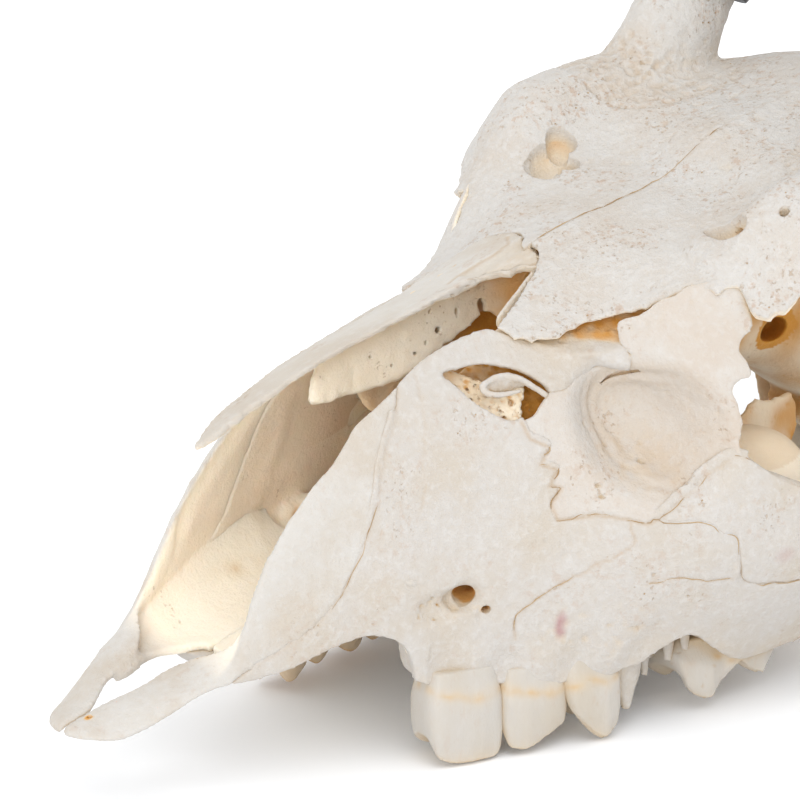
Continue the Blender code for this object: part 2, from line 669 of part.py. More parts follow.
POST_BAR_TOP = ((26.2, 95.6, 43.4), (27.0, 96.2, 40.0), (27.4, 96.6, 37.0), (27.3, 96.8, 34.1))
POST_BAR_HALF = ((2.0, 3.0), (1.5, 2.4), (1.2, 2.1), (1.1, 1.9))

for side, tag in ((1, "left"), (-1, "right")):
    frontal = plate("frontal_" + tag, joined(*FRONTAL_EDGES[side], FRONTAL_RIM, FRONTAL_HIND), False,
                    frontal_thick, side)
    core = loft("core", [horn_ring(t, r, side) for t, r in CORE_RADII])
    bar = loft("bar", [ring((x * side, d, z), (1, 0, 0), (0, 1, 0), a, b, 10)
                       for (x, d, z), (a, b) in zip(POST_BAR_TOP, POST_BAR_HALF)])
    boolean(frontal, [core, bar], "UNION")
    finish(frontal, BONE, 0.6)

    sheath_rings = [horn_ring(SHEATH_RIM + t, r, side) for t, r in reversed(SHEATH_RADII)]
    sheath_rings.append(horn_ring(SHEATH_RIM, 5.0, side))
    sheath_rings.append(horn_ring(SHEATH_RIM + SOCKET_DEEP, 4.8, side))
    finish(loft("horn_sheath_" + tag, sheath_rings), HORN_BLACK, 0.35)

nasal = plate("nasal_right", joined(RIGHT_FRONT, NASAL_SIDE), False, NASAL_THICK, -1)
finish(nasal, BONE, 0.6)

# Scrolls inside the nose.

SCROLL_RIGHT = ((31.0, 34.0), (34.4, 35.8), (39.0, 37.4), (45.0, 39.2), (50.0, 40.2), (54.5, 41.4),
                (54.5, 33.6), (52.4, 32.6), (50.0, 34.6), (44.0, 34.4), (38.0, 34.0), (34.0, 33.6))
SCROLL_THICK = 0.8


def scroll_x(d, z):
    """The sheet hangs from under the nasal bone and leans to the middle as it goes down."""
    return 4.6 - 0.32 * (40.0 - z) + 0.012 * (d - 42.0) ** 2 * 0.1


finish(plate("turbinate_right", SCROLL_RIGHT, True, SCROLL_THICK, -1, 2.6, 2.4, scroll_x, 0.0),
       THIN_BONE, 0.7)

# Braincase and base of the skull.

# Closed sections of the braincase and the walls between the eyes: D, half width, top Z, bottom Z.
CASE_SECTIONS = (
    (55.0, 5.0, 41.6, 30.0),
    (58.0, 7.6, 42.4, 28.6),
    (62.0, 8.8, 43.2, 27.6),
    (66.0, 9.4, 44.2, 27.0),
    (70.0, 10.0, 44.9, 27.0),
    (76.0, 9.2, 46.6, 26.6),
    (82.0, 8.4, 48.8, 24.6),
    (88.0, 9.4, 51.0, 22.0),
    (94.0, 13.0, 51.6, 19.0),
    (99.8, 18.0, 52.4, 16.4),
    (100.4, 18.6, 55.2, 16.0),
    (106.0, 21.6, 54.6, 14.0),
    (113.0, 22.6, 51.6, 12.6),
    (120.0, 22.2, 48.4, 12.0),
    (127.0, 20.4, 44.4, 11.6),
    (132.0, 18.6, 40.6, 11.6),
    (136.0, 16.4, 36.6, 12.4),
    (138.4, 12.6, 32.4, 14.6),
)
CASE_RING = 24
CASE_POWER = 2.3
case_rings = []
for d, half, top, bottom in CASE_SECTIONS:
    middle = (0, d, (top + bottom) / 2)
    case_rings.append(ring(middle, (1, 0, 0), (0, 0, 1), half, (top - bottom) / 2, CASE_RING,
                           CASE_POWER))
braincase = loft("braincase", case_rings)
extras = []
NAPE_HALF = (1.6, 1.2)
NAPE_PATH = ((-16.6, 131.0, 32.0), (-10.6, 135.0, 36.0), (0.0, 136.8, 37.2), (10.6, 135.0, 36.0),
             (16.6, 131.0, 32.0))
extras.append(tube("nape", NAPE_PATH, [NAPE_HALF] * len(NAPE_PATH)))
BASE_PATH = ((0, 84.0, 22.6), (0, 100.0, 17.0), (0, 120.0, 13.6), (0, 134.0, 15.0))
BASE_HALF = ((3.0, 2.0), (4.5, 3.0), (6.5, 3.5), (7.5, 4.0))
extras.append(tube("base", BASE_PATH, BASE_HALF))
VOMER = ((42.0, 17.2), (50.0, 17.0), (68.0, 17.6), (78.0, 19.0), (78.0, 30.0), (68.0, 31.0),
         (58.0, 32.0), (48.0, 23.0))
VOMER_HALF = 0.6
WING = ((84.6, 21.0), (90.0, 22.6), (97.0, 20.0), (99.0, 17.0), (96.0, 10.0), (91.0, 8.0),
        (88.0, 11.0), (86.0, 16.0))
WING_THICK = 1.1
CONDYLE = (7.6, 136.6, 18.2)
CONDYLE_HALF = (5.2, 5.4, 6.4)
BULLA = (12.6, 116.5, 10.4)
BULLA_HALF = (5.2, 7.6, 7.4)
FOOT_PATH = ((17.0, 128.0, 20.0), (17.2, 128.2, 12.0), (16.4, 126.6, 5.0), (15.6, 125.0, 0.0))
FOOT_HALF = ((3.4, 4.4), (2.6, 3.6), (1.7, 2.6), (0.9, 1.5))
ARCH_PATH = ((19.0, 113.0, 22.0), (25.6, 111.6, 21.6), (27.6, 109.6, 21.0), (27.4, 105.4, 20.6))
ARCH_HALF = ((4.6, 3.0), (2.2, 2.4), (1.6, 2.2), (1.2, 1.9))
EAR_PATH = ((17.0, 118.4, 17.0), (22.6, 118.6, 18.0), (24.6, 118.6, 18.6))
EAR_HALF = ((3.4, 3.4), (2.6, 2.6), (2.4, 2.4))
BRAIN_HOLE = (0, 141.0, 25.6)
BRAIN_HOLE_HALF = (6.2, 6.6, 6.0)
EYE_NERVE_HOLE = (10.0, 81.6, 32.8)
EYE_NERVE_HOLE_HALF = (4.0, 2.2, 1.9)
EAR_HOLE = (25.4, 118.6, 18.8)
EAR_HOLE_HALF = (2.6, 1.5, 1.5)


def vomer_x(d, z):
    return VOMER_HALF


def wing_x(d, z):
    return 5.4 + 0.06 * (d - 84.0)


def on_side(path, side):
    return [(x * side, d, z) for x, d, z in path]


extras.append(plate("vomer", VOMER, True, VOMER_HALF * 2, 1, 6.0, 5.0, vomer_x, 0.0))
for side in (1, -1):
    extras.append(ball("condyle", (CONDYLE[0] * side, *CONDYLE[1:]), CONDYLE_HALF))
    extras.append(ball("bulla", (BULLA[0] * side, *BULLA[1:]), BULLA_HALF))
    extras.append(loft("foot", [ring(p, (1, 0, 0), (0, 1, 0), a, b, 10)
                                for p, (a, b) in zip(on_side(FOOT_PATH, side), FOOT_HALF)]))
    extras.append(tube("arch", on_side(ARCH_PATH, side), ARCH_HALF))
    extras.append(tube("ear", on_side(EAR_PATH, side), EAR_HALF))
    extras.append(plate("wing", WING, True, WING_THICK, side, 4.0, 3.6, wing_x, 0.0))
boolean(braincase, extras, "UNION")
cuts = [ball("foramen", BRAIN_HOLE, BRAIN_HOLE_HALF)]
for side in (1, -1):
    cuts.append(ball("optic", (EYE_NERVE_HOLE[0] * side, *EYE_NERVE_HOLE[1:]), EYE_NERVE_HOLE_HALF))
    cuts.append(ball("ear_hole", (EAR_HOLE[0] * side, *EAR_HOLE[1:]), EAR_HOLE_HALF, 10, 7))
boolean(braincase, cuts, "DIFFERENCE")
finish(braincase, BONE, 0.62)
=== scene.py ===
"""Museum model of a steenbok skull at life size, built up bone by bone from the snout to the nape.

Sizes are millimetres on the skull: X across, positive on the animal's left; D back from the tip of
the snout; Z up from the table that the skull lies on. Each finished piece is scaled to metres.
"""

import math

import bpy
import bmesh
import numpy as np
from mathutils import Matrix, Vector
from mathutils.geometry import delaunay_2d_cdt


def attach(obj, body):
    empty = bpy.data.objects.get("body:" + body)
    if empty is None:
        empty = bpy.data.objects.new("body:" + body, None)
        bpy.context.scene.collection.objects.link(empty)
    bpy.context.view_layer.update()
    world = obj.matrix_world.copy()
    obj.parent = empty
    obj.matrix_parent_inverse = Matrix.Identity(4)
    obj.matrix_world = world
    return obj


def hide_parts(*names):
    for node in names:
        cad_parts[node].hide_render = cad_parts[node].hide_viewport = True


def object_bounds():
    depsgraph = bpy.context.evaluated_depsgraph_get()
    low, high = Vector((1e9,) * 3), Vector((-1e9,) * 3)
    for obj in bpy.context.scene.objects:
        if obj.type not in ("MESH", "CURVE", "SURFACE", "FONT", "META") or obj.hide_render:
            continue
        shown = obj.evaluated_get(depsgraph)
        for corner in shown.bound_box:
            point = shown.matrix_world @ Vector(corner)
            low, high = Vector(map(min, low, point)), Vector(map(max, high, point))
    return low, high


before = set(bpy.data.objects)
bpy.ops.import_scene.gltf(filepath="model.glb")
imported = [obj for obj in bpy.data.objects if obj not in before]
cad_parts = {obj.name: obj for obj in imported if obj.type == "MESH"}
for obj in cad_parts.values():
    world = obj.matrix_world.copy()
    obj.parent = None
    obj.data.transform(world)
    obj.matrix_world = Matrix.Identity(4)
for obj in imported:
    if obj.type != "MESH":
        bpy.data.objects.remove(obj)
cad_low, cad_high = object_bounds()

# Premaxillae.
# The paired bones at the tip of the snout: a flat blade with a wall that climbs the side of the
# nose. Thin dry bone with sharp edges, and a fine seam against the upper jaw.

MM = 0.001
MIDDLE_D = 70.2
GRAIN_OF_MESH = 0.27
SEAM_HALF = -0.05
BOTH_SIDES = ((1, "left"), (-1, "right"))

# Side of the face: at each D, half the skull's width X at five heights, top to bottom (Z, X).
SIDE_OF_FACE = {
    8.0: ((15.0, 6.4), (13.6, 6.9), (12.2, 7.2), (11.0, 7.4), (8.0, 7.5)),
    12.0: ((17.4, 7.0), (16.0, 7.5), (14.6, 8.0), (13.2, 8.3), (9.0, 8.4)),
    16.0: ((22.0, 7.4), (19.6, 8.0), (17.2, 8.7), (15.0, 9.2), (10.0, 9.4)),
    20.0: ((28.6, 7.1), (24.4, 8.5), (20.0, 9.4), (16.5, 10.1), (11.0, 10.3)),
    25.0: ((35.0, 6.1), (29.5, 9.0), (23.5, 10.4), (18.0, 11.2), (11.0, 11.2)),
    30.0: ((38.0, 5.8), (33.0, 9.3), (26.5, 11.5), (18.5, 12.7), (10.0, 12.4)),
    38.0: ((39.2, 6.1), (35.0, 10.2), (27.0, 13.5), (17.5, 14.9), (6.0, 14.2)),
    46.0: ((40.8, 6.6), (36.5, 11.2), (28.0, 15.9), (18.0, 17.9), (5.0, 16.9)),
    54.0: ((43.0, 9.5), (37.5, 13.0), (30.0, 19.3), (20.0, 22.2), (5.0, 18.6)),
    60.0: ((46.0, 14.5), (40.0, 18.6), (31.0, 22.6), (20.5, 24.8), (5.0, 19.4)),
    66.0: ((47.0, 19.5), (41.0, 22.6), (32.0, 25.2), (20.0, 26.4), (4.0, 19.6)),
    76.0: ((48.0, 22.0), (41.0, 25.5), (32.0, 27.6), (20.0, 28.0), (4.0, 19.8)),
    88.0: ((48.0, 24.0), (41.0, 27.0), (32.0, 29.0), (20.0, 29.0), (4.0, 19.0)),
    106.0: ((48.0, 24.0), (41.0, 27.0), (32.0, 28.0), (20.0, 28.0), (4.0, 19.0)),
}
LOOKUP_STEP = 0.25
# The steps of a jagged seam are their size, seed and pitch.
SNOUT_STEPS = (0.07, 3, 0.55)

NOSE_EDGE = ((13.6, 15.4), (14.8, 17.6), (16.7, 21.4), (18.2, 24.3), (20.0, 26.8), (22.8, 29.8),
             (25.3, 31.9), (26.9, 33.5), (28.7, 35.1), (31.1, 36.2), (34.0, 37.5))
FAR_EDGE_DROP = ((18.0, 0.0), (22.0, 0.7), (27.0, 1.0), (31.0, 0.0))
SNOUT_SEAM = ((34.0, 37.5), (32.5, 35.4), (30.6, 32.8), (29.3, 30.3), (28.5, 27.6), (27.4, 25.3),
              (26.4, 23.2), (24.4, 19.9), (21.9, 17.2), (19.9, 16.0), (17.9, 15.0), (14.7, 13.6),
              (12.4, 12.2))
WALL_FOOT = ((12.4, 12.2), (12.9, 13.6), (13.6, 15.4))
# The blade twists into the wall: at each D its low edge, its middle and its upper edge, as (X, Z).
BLADE = {
    -1.42: ((1.3, 8.3), (0.7, 8.5), (0.1, 8.5)),
    -1.0: ((2.5, 8.3), (1.3, 8.8), (0.0, 8.8)),
    1.5: ((4.8, 8.3), (2.6, 9.4), (0.0, 9.5)),
    4.0: ((5.9, 9.0), (3.6, 10.3), (0.4, 10.3)),
    7.0: ((6.9, 10.5), (4.6, 11.4), (1.2, 11.3)),
    10.0: ((7.8, 12.0), (5.6, 12.7), (1.7, 12.5)),
    12.0: ((8.2, 12.1), (6.9, 13.9), (3.4, 13.8)),
    14.0: ((8.7, 13.3), (8.0, 15.2), (5.9, 16.4)),
    16.0: ((9.3, 14.3), (8.8, 17.2), (7.4, 20.4)),
    18.0: ((9.8, 15.2), (9.1, 19.6), (7.4, 24.4)),
}
# The floor of the nose beside the slot, as (D, X).
SLOT_FLOOR = ((7.0, 1.5), (8.5, 0.9), (11.7, 1.4), (13.9, 1.0), (16.4, 0.4), (17.4, 0.0),
              (28.0, 0.0), (35.0, 0.0))
FLOOR_FRONT = ((15.0, 8.0), (13.0, 7.0), (10.5, 5.4), (8.0, 3.8))
FLOOR_STOPS = (32.5, 28.0, 23.0, 18.5)
FLOOR_THICK = 0.9
FLOOR_IN_WALL = 0.85
FLOOR_EDGE_TRIES = 14
# Radius of the hollow in which the floor climbs into the wall.
FLOOR_ROUND = 3.0
NEAR_SLOT_BACK = 0.9
# How much wider the far blade stands off the slot, by D.
FAR_SLOT_BACK = ((2.0, 0.0), (5.5, 1.5), (12.5, 1.7), (16.5, 0.6), (17.5, 0.0))
# Height of the floor along the middle, as (D, Z).
PALATE_MIDDLE = ((6.0, 10.5), (10.0, 12.0), (16.6, 12.7), (20.0, 13.4), (30.0, 14.2), (38.0, 12.4),
                 (50.0, 11.6), (66.0, 11.4), (80.0, 12.6))
PALATE_ARCH = 1.2
FLOOR_RAMP = 0.085
BLADE_HOLE = ((1.0, 1.0, 11.0), (1.0, 1.2, 8.6))
BLADE_HOLE_BORE = 0.26
INNER_RIDGES = (((33.6, 30.5), (33.5, 26.5), (32.5, 23.4), (31.2, 20.0)),
                ((38.3, 22.0), (33.6, 21.4), (29.0, 20.7), (24.8, 20.9), (20.6, 21.6)))
INNER_PATCHES = ((27.7, 12.1, 4.0, 3.4), (30.9, 21.0, 1.6, 2.6), (26.0, 16.0, 5.0, 1.4))
WALL_THICK = 1.15
EDGE_THIN = 0.55
# How far the surface is uneven, in millimetres.
BONE_LUMP = 0.07
BONE_IVORY = (0.51, 0.478, 0.442)
BONE_WARM = (0.495, 0.443, 0.38)
BONE_PALE = (0.585, 0.570, 0.550)
# Painted light: a lighter, warmer colour for inner faces, standing in for light that comes through
# the thin bone.
BONE_INNER_PAINTED_LIGHT = (0.90, 0.815, 0.685)
BONE_TAN = (0.66, 0.50, 0.30)
# Deep ochre for heavy stains and for painted shade in deep recesses.
SHADE_AND_STAIN_OCHRE = (0.58, 0.27, 0.045)
SPECK_BROWN = (0.42, 0.31, 0.21)
RUST = (0.45, 0.335, 0.255)
SEAM_BROWN = (0.40, 0.25, 0.11)
BLOOD_PURPLE = (0.42, 0.27, 0.26)
BONE_GLOW = (1.0, 0.84, 0.66)
# How much light sinks into the bone, and how far in metres, on its outer and on its inner faces.
OUTER_GLOW, INNER_GLOW = 0.15, 0.55
OUTER_REACH, INNER_REACH = 0.0007, 0.0012


def faded(amount):
    """The amount, held between 0 and 1."""
    return np.clip(amount, 0, 1)


def read_off(line, at):
    """Where a line of (place, value) corners stands at this place."""
    return np.interp(at, *np.array(line).T)


def squared(count, bend):
    """Cosine and sine round a section, made squarer by the bend."""
    turn = np.linspace(0, 2 * np.pi, count, endpoint=False)
    c, s = np.cos(turn), np.sin(turn)
    return np.sign(c) * np.abs(c) ** bend, np.sign(s) * np.abs(s) ** bend


def steady(stations, values, at):
    """Smooth values between the stations, with no overshoot."""
    xs = np.asarray(stations, float)
    ys = np.asarray(values, float)
    at = np.clip(np.asarray(at, float), xs[0], xs[-1])
    step = np.diff(xs)
    rise = np.diff(ys, axis=0) / step.reshape((-1,) + (1,) * (ys.ndim - 1))
    slope = np.empty_like(ys)
    both = rise[:-1] * rise[1:]
    slope[1:-1] = np.where(both > 0, 2 * both / (rise[:-1] + rise[1:] + 1e-12), 0)
    slope[0] = rise[0]
    slope[-1] = rise[-1]
    i = np.clip(np.searchsorted(xs, at) - 1, 0, len(step) - 1)
    h = step[i]
    t = (at - xs[i]) / h
    if ys.ndim > 1 and np.ndim(t):
        h = h[:, None]
        t = t[:, None]
    return ((2 * t**3 - 3 * t**2 + 1) * ys[i] + (t**3 - 2 * t**2 + t) * h * slope[i]
            + (3 * t**2 - 2 * t**3) * ys[i + 1] + (t**3 - t**2) * h * slope[i + 1])


def lookup(table, low, step):
    """A function of two lengths, read smoothly out of a table of heights."""
    def at(a, b):
        u = np.clip((np.asarray(a, float) - low[0]) / step, 0, table.shape[0] - 1.001)
        v = np.clip((np.asarray(b, float) - low[1]) / step, 0, table.shape[1] - 1.001)
        i = u.astype(int)
        j = v.astype(int)
        u = u - i
        v = v - j
        return ((table[i, j] * (1 - v) + table[i, j + 1] * v) * (1 - u)
                + (table[i + 1, j] * (1 - v) + table[i + 1, j + 1] * v) * u)
    return at


def side_table():
    """Half widths of the face in even steps of D and Z."""
    stations = sorted(SIDE_OF_FACE)
    heights = np.array([[z for z, _ in SIDE_OF_FACE[d]] for d in stations])
    widths = np.array([[x for _, x in SIDE_OF_FACE[d]] for d in stations])
    zs = np.arange(0, 56, LOOKUP_STEP)
    rows = []
    for d in np.arange(4, 112, LOOKUP_STEP):
        z_at = steady(stations, heights, d)
        x_at = steady(stations, widths, d)
        rows.append(steady(z_at[::-1], x_at[::-1], zs))
    return np.array(rows)


def dent(a, b, centre, half, deep, flat=0.3):
    """A smooth round hollow: how deep it is at (a, b)."""
    r = np.hypot((a - centre[0]) / half[0], (b - centre[1]) / half[1])
    t = faded((r - flat) / (1 - flat))
    return deep * (1 - t * t * (3 - 2 * t))


plain_side = lookup(side_table(), (4, 0), LOOKUP_STEP)
TEAR_HOLLOW = (56.2, 31.3)
TEAR_HOLLOW_FRONT, TEAR_HOLLOW_HIND = 8.2, 6.7
TEAR_HOLLOW_UP, TEAR_HOLLOW_DOWN = 7.3, 7.8
TEAR_HOLLOW_DEEP = 6.0
# The nerve hole's dish, shallow in front and deep behind: D, Z, half length, half height, depth.
FACE_HOLE = ((33.9, 16.5, 2.6, 1.8, 0.7, 0.45), (36.5, 17.2, 2.1, 1.6, 1.5, 0.5),
             (38.4, 15.3, 1.1, 0.7, 0.5, 0.4))


def side_form(d, z):
    """Half the width of the face at D and Z, with the tear hollow and the nerve hole's dish."""
    x = plain_side(d, z)
    d = np.asarray(d, float)
    z = np.asarray(z, float)
    half = (np.where(d > TEAR_HOLLOW[0], TEAR_HOLLOW_HIND, TEAR_HOLLOW_FRONT),
            np.where(z > TEAR_HOLLOW[1], TEAR_HOLLOW_UP, TEAR_HOLLOW_DOWN))
    flat = 0.15 + 0.24 * faded((d - TEAR_HOLLOW[0]) / 3)
    x = x - dent(d, z, TEAR_HOLLOW, half, TEAR_HOLLOW_DEEP, flat)
    for at_d, at_z, long, tall, deep, level in FACE_HOLE:
        x = x - dent(d, z, (at_d, at_z), (long, tall), deep, level)
    return x


def rounded(line, pitch=0.5):
    """The line through these corners as a smooth curve, with points this far apart."""
    p = np.array(line, float)
    p = np.vstack([2 * p[0] - p[1], p, 2 * p[-1] - p[-2]])
    points = []
    for i in range(1, len(p) - 2):
        a, b, c, e = p[i - 1:i + 3]
        parts = max(1, round(float(np.hypot(*(c - b))) / pitch))
        for t in np.arange(parts) / parts:
            points.append(0.5 * (2 * b + (c - a) * t + (2 * a - 5 * b + 4 * c - e) * t**2
                                 + (3 * b - a - 3 * c + e) * t**3))
    points.append(p[-2])
    return np.array(points)


def ragged(line, size, seed, pitch=0.55):
    """A seam or a broken edge: the line with small seeded steps to either side."""
    points = rounded(line, pitch)
    rng = np.random.default_rng(seed)
    along = np.gradient(points, axis=0)
    along /= np.hypot(*along.T)[:, None] + 1e-9
    step = rng.normal(0, size, len(points))
    step[1:-1] = (step[:-2] + 2 * step[1:-1] + step[2:]) / 3
    step[[0, -1]] = 0
    return points + np.stack([-along[:, 1], along[:, 0]], 1) * step[:, None]


def closed_line(*lines):
    """Edge lines end to end as one closed outline, each shared corner kept once."""
    points = []
    for line in lines:
        for p in line:
            if not points or math.dist(p, points[-1]) > 0.02:
                points.append((float(p[0]), float(p[1])))
    if math.dist(points[0], points[-1]) < 0.02:
        points.pop()
    return points


def ring_of(corners, pitch=0.5):
    """A smooth closed outline through these corners."""
    return closed_line(rounded(corners + corners[:1], pitch))


def set_back(outline, amount):
    """The outline moved inwards, which leaves half of a seam."""
    p = np.array(outline)
    before = p - np.roll(p, 1, 0)
    after = np.roll(p, -1, 0) - p
    before /= np.hypot(*before.T)[:, None]
    after /= np.hypot(*after.T)[:, None]
    area = (p[:, 0] * np.roll(p[:, 1], -1) - np.roll(p[:, 0], -1) * p[:, 1]).sum()
    n = np.stack([-(before + after)[:, 1], (before + after)[:, 0]], 1) * (1 if area > 0 else -1)
    length = np.hypot(*n.T)
    return p + n * (amount * 2 / np.maximum(length, 0.9) / np.maximum(length, 1e-6))[:, None]


def inside(points, outline):
    """Which of these points lie inside the outline."""
    x, y = points.T
    found = np.zeros(len(points), bool)
    for i in range(len(outline)):
        (ax, ay), (bx, by) = outline[i], outline[i - 1]
        crosses = (ay > y) != (by > y)
        found ^= crosses & (x < (bx - ax) * (y - ay) / (by - ay + 1e-12) + ax)
    return found


def filled(outline, step):
    """Triangles over an outline: its own points first, then an even field inside it."""
    outline = np.array(outline)
    low = outline.min(0)
    high = outline.max(0)
    rows = np.arange(low[1] + step * 0.4, high[1], step * 0.87)
    field = []
    for k, b in enumerate(rows):
        start = low[0] + step * (0.3 + 0.5 * (k % 2))
        field.append(np.array([(a, b) for a in np.arange(start, high[0], step)]))
    field = np.vstack([f for f in field if len(f)])
    field = field[inside(field, outline)]
    away = np.full(len(field), 1e9)
    for p in outline:
        away = np.minimum(away, np.hypot(*(field - p).T))
    field = field[away > step * 0.5]
    count = len(outline)
    flat = [Vector(p) for p in np.vstack([outline, field])]
    edges = [(i, (i + 1) % count) for i in range(count)]
    points, _, faces, _, _, _ = delaunay_2d_cdt(flat, edges, [], 1, 1e-5)
    return np.array([tuple(p) for p in points]), [tuple(f) for f in faces]


def sheet_of_bone(outline, form, thick, from_side, side=1, step=0.8, seam=SEAM_HALF):
    """A closed curved sheet: an outline seen from the side or from above, laid on a form."""
    flat, faces = filled(set_back(outline, seam), step)
    a, b = flat.T
    c = form(a, b)
    reach = 0.5
    slope_a = (form(a + reach, b) - form(a - reach, b)) / (2 * reach)
    slope_b = (form(a, b + reach) - form(a, b - reach)) / (2 * reach)
    normal = np.stack([np.ones(len(a)), -slope_a, -slope_b], 1)
    normal /= np.linalg.norm(normal, axis=1)[:, None]
    deep = thick(a, b) if callable(thick) else np.full(len(a), thick)
    outer = np.stack([c, a, b], 1)
    inner = outer - normal * deep[:, None]
    if not from_side:
        inner[:, 2] = b - (b - inner[:, 2]) * np.minimum(np.abs(b) / 4, 1)
        outer = outer[:, [2, 1, 0]]
        inner = inner[:, [2, 1, 0]]
    outer[:, 0] *= side
    inner[:, 0] *= side
    count = len(outer)
    used = set()
    for f in faces:
        used.update(zip(f, f[1:] + f[:1]))
    walls = [(b_, a_, a_ + count, b_ + count) for a_, b_ in used if (b_, a_) not in used]
    under = [tuple(i + count for i in reversed(f)) for f in faces]
    return np.vstack([outer, inner]), list(faces) + under + walls


def skin_over(rings):
    """A closed skin over rings of equally many points."""
    count = len(rings[0])
    faces = []
    for r in range(len(rings) - 1):
        for i in range(count):
            j = (i + 1) % count
            faces.append((r * count + i, r * count + j, (r + 1) * count + j, (r + 1) * count + i))
    faces.append(tuple(range(count))[::-1])
    faces.append(tuple(range((len(rings) - 1) * count, len(rings) * count)))
    return np.vstack(rings), faces


def mesh_of(name, skins):
    """One object from closed skins, in millimetres on the skull."""
    points = []
    faces = []
    start = 0
    for p, f in skins:
        points.append(p)
        faces += [tuple(i + start for i in one) for one in f]
        start += len(p)
    mesh = bpy.data.meshes.new(name)
    mesh.from_pydata(np.vstack(points).tolist(), [], faces)
    work = bmesh.new()
    work.from_mesh(mesh)
    bmesh.ops.recalc_face_normals(work, faces=work.faces)
    work.to_mesh(mesh)
    work.free()
    obj = bpy.data.objects.new(name, mesh)
    bpy.context.scene.collection.objects.link(obj)
    return obj


def fixed_shape(obj):
    """The object with its modifiers worked into its mesh."""
    graph = bpy.context.evaluated_depsgraph_get()
    made = bpy.data.meshes.new_from_object(obj.evaluated_get(graph))
    obj.modifiers.clear()
    old = obj.data
    obj.data = made
    bpy.data.meshes.remove(old)
    return obj


def grown(name, skins, grain=GRAIN_OF_MESH, soften=2):
    """The skins grown together into one body of bone, with softly rounded edges."""
    obj = mesh_of(name, skins)
    grow = obj.modifiers.new("grow", "REMESH")
    grow.mode = "VOXEL"
    grow.voxel_size = grain
    soft = obj.modifiers.new("soften", "SMOOTH")
    soft.factor = 0.5
    soft.iterations = soften
    return fixed_shape(obj)


def bored(obj, skins):
    """The bone with each of these holes bored into it."""
    for skin in skins:
        cutter = mesh_of("cutter", [skin])
        cut = obj.modifiers.new("cut", "BOOLEAN")
        cut.operation = "DIFFERENCE"
        cut.object = cutter
        cut.solver = "MANIFOLD"
        fixed_shape(obj)
        bpy.data.objects.remove(cutter, do_unlink=True)
    return obj


def uneven(points, size, seed):
    """Smooth seeded unevenness from -1 to 1, with lumps of about this size."""
    q = points / size
    cell = np.floor(q).astype(np.int64)
    t = q - cell
    t = t * t * (3 - 2 * t)
    total = np.zeros(len(points))
    for corner in range(8):
        shift = np.array([corner & 1, corner >> 1 & 1, corner >> 2])
        c = cell + shift
        h = (c[:, 0] * 73856093) ^ (c[:, 1] * 19349663) ^ (c[:, 2] * 83492791) ^ (seed * 40503)
        h = (h ^ (h >> 13)) * 1274126177 & 0xFFFFFF
        share = np.prod(np.where(shift, t, 1 - t), axis=1)
        total += share * (h / 0x7FFFFF - 1)
    return total


def line_mask(a, b, line, half):
    """1 on a drawn line, falling to 0 at half away from it."""
    best = np.full(len(a), 1e9)
    for (ax, ay), (bx, by) in zip(line[:-1], line[1:]):
        vx, vy = bx - ax, by - ay
        t = faded(((a - ax) * vx + (b - ay) * vy) / (vx * vx + vy * vy + 1e-12))
        best = np.minimum(best, np.hypot(a - ax - t * vx, b - ay - t * vy))
    t = faded(1 - best / half)
    return t * t * (3 - 2 * t)


def rows_of(parts, name):
    """A value of each part of a mesh, as rows of three."""
    flat = np.empty(len(parts) * 3, np.float32)
    parts.foreach_get(name, flat)
    return flat.reshape(-1, 3)


def weathered(obj, lump=BONE_LUMP, marks=None):
    """Gives the bone its slightly uneven surface and records where it is stained, lined or painted.

    marks(points, normals) gives the shares of ochre (stains and painted shade), of line, of purple
    and of inner bone (a lighter painted colour and deeper subsurface light), and a height in
    millimetres.
    """
    mesh = obj.data
    count = len(mesh.vertices)
    co = rows_of(mesh.vertices, "co").astype(float)
    normals = rows_of(mesh.vertex_normals, "vector").astype(float)
    height = lump * (uneven(co, 5.0, 1) + 0.5 * uneven(co, 1.9, 2) + 0.25 * uneven(co, 0.8, 3))
    colour = np.zeros((count, 4), np.float32)
    if marks:
        ochre, line, purple, inner, raise_by = marks(co, normals)
        height = height + raise_by
        for channel, amount in enumerate((ochre, line, purple, inner)):
            colour[:, channel] = faded(amount)
    co = co + normals * height[:, None]
    mesh.vertices.foreach_set("co", co.astype(np.float32).ravel())
    layer = mesh.color_attributes.new("marks", "FLOAT_COLOR", "POINT")
    layer.data.foreach_set("color", colour.ravel())
    mesh.update()
    return obj


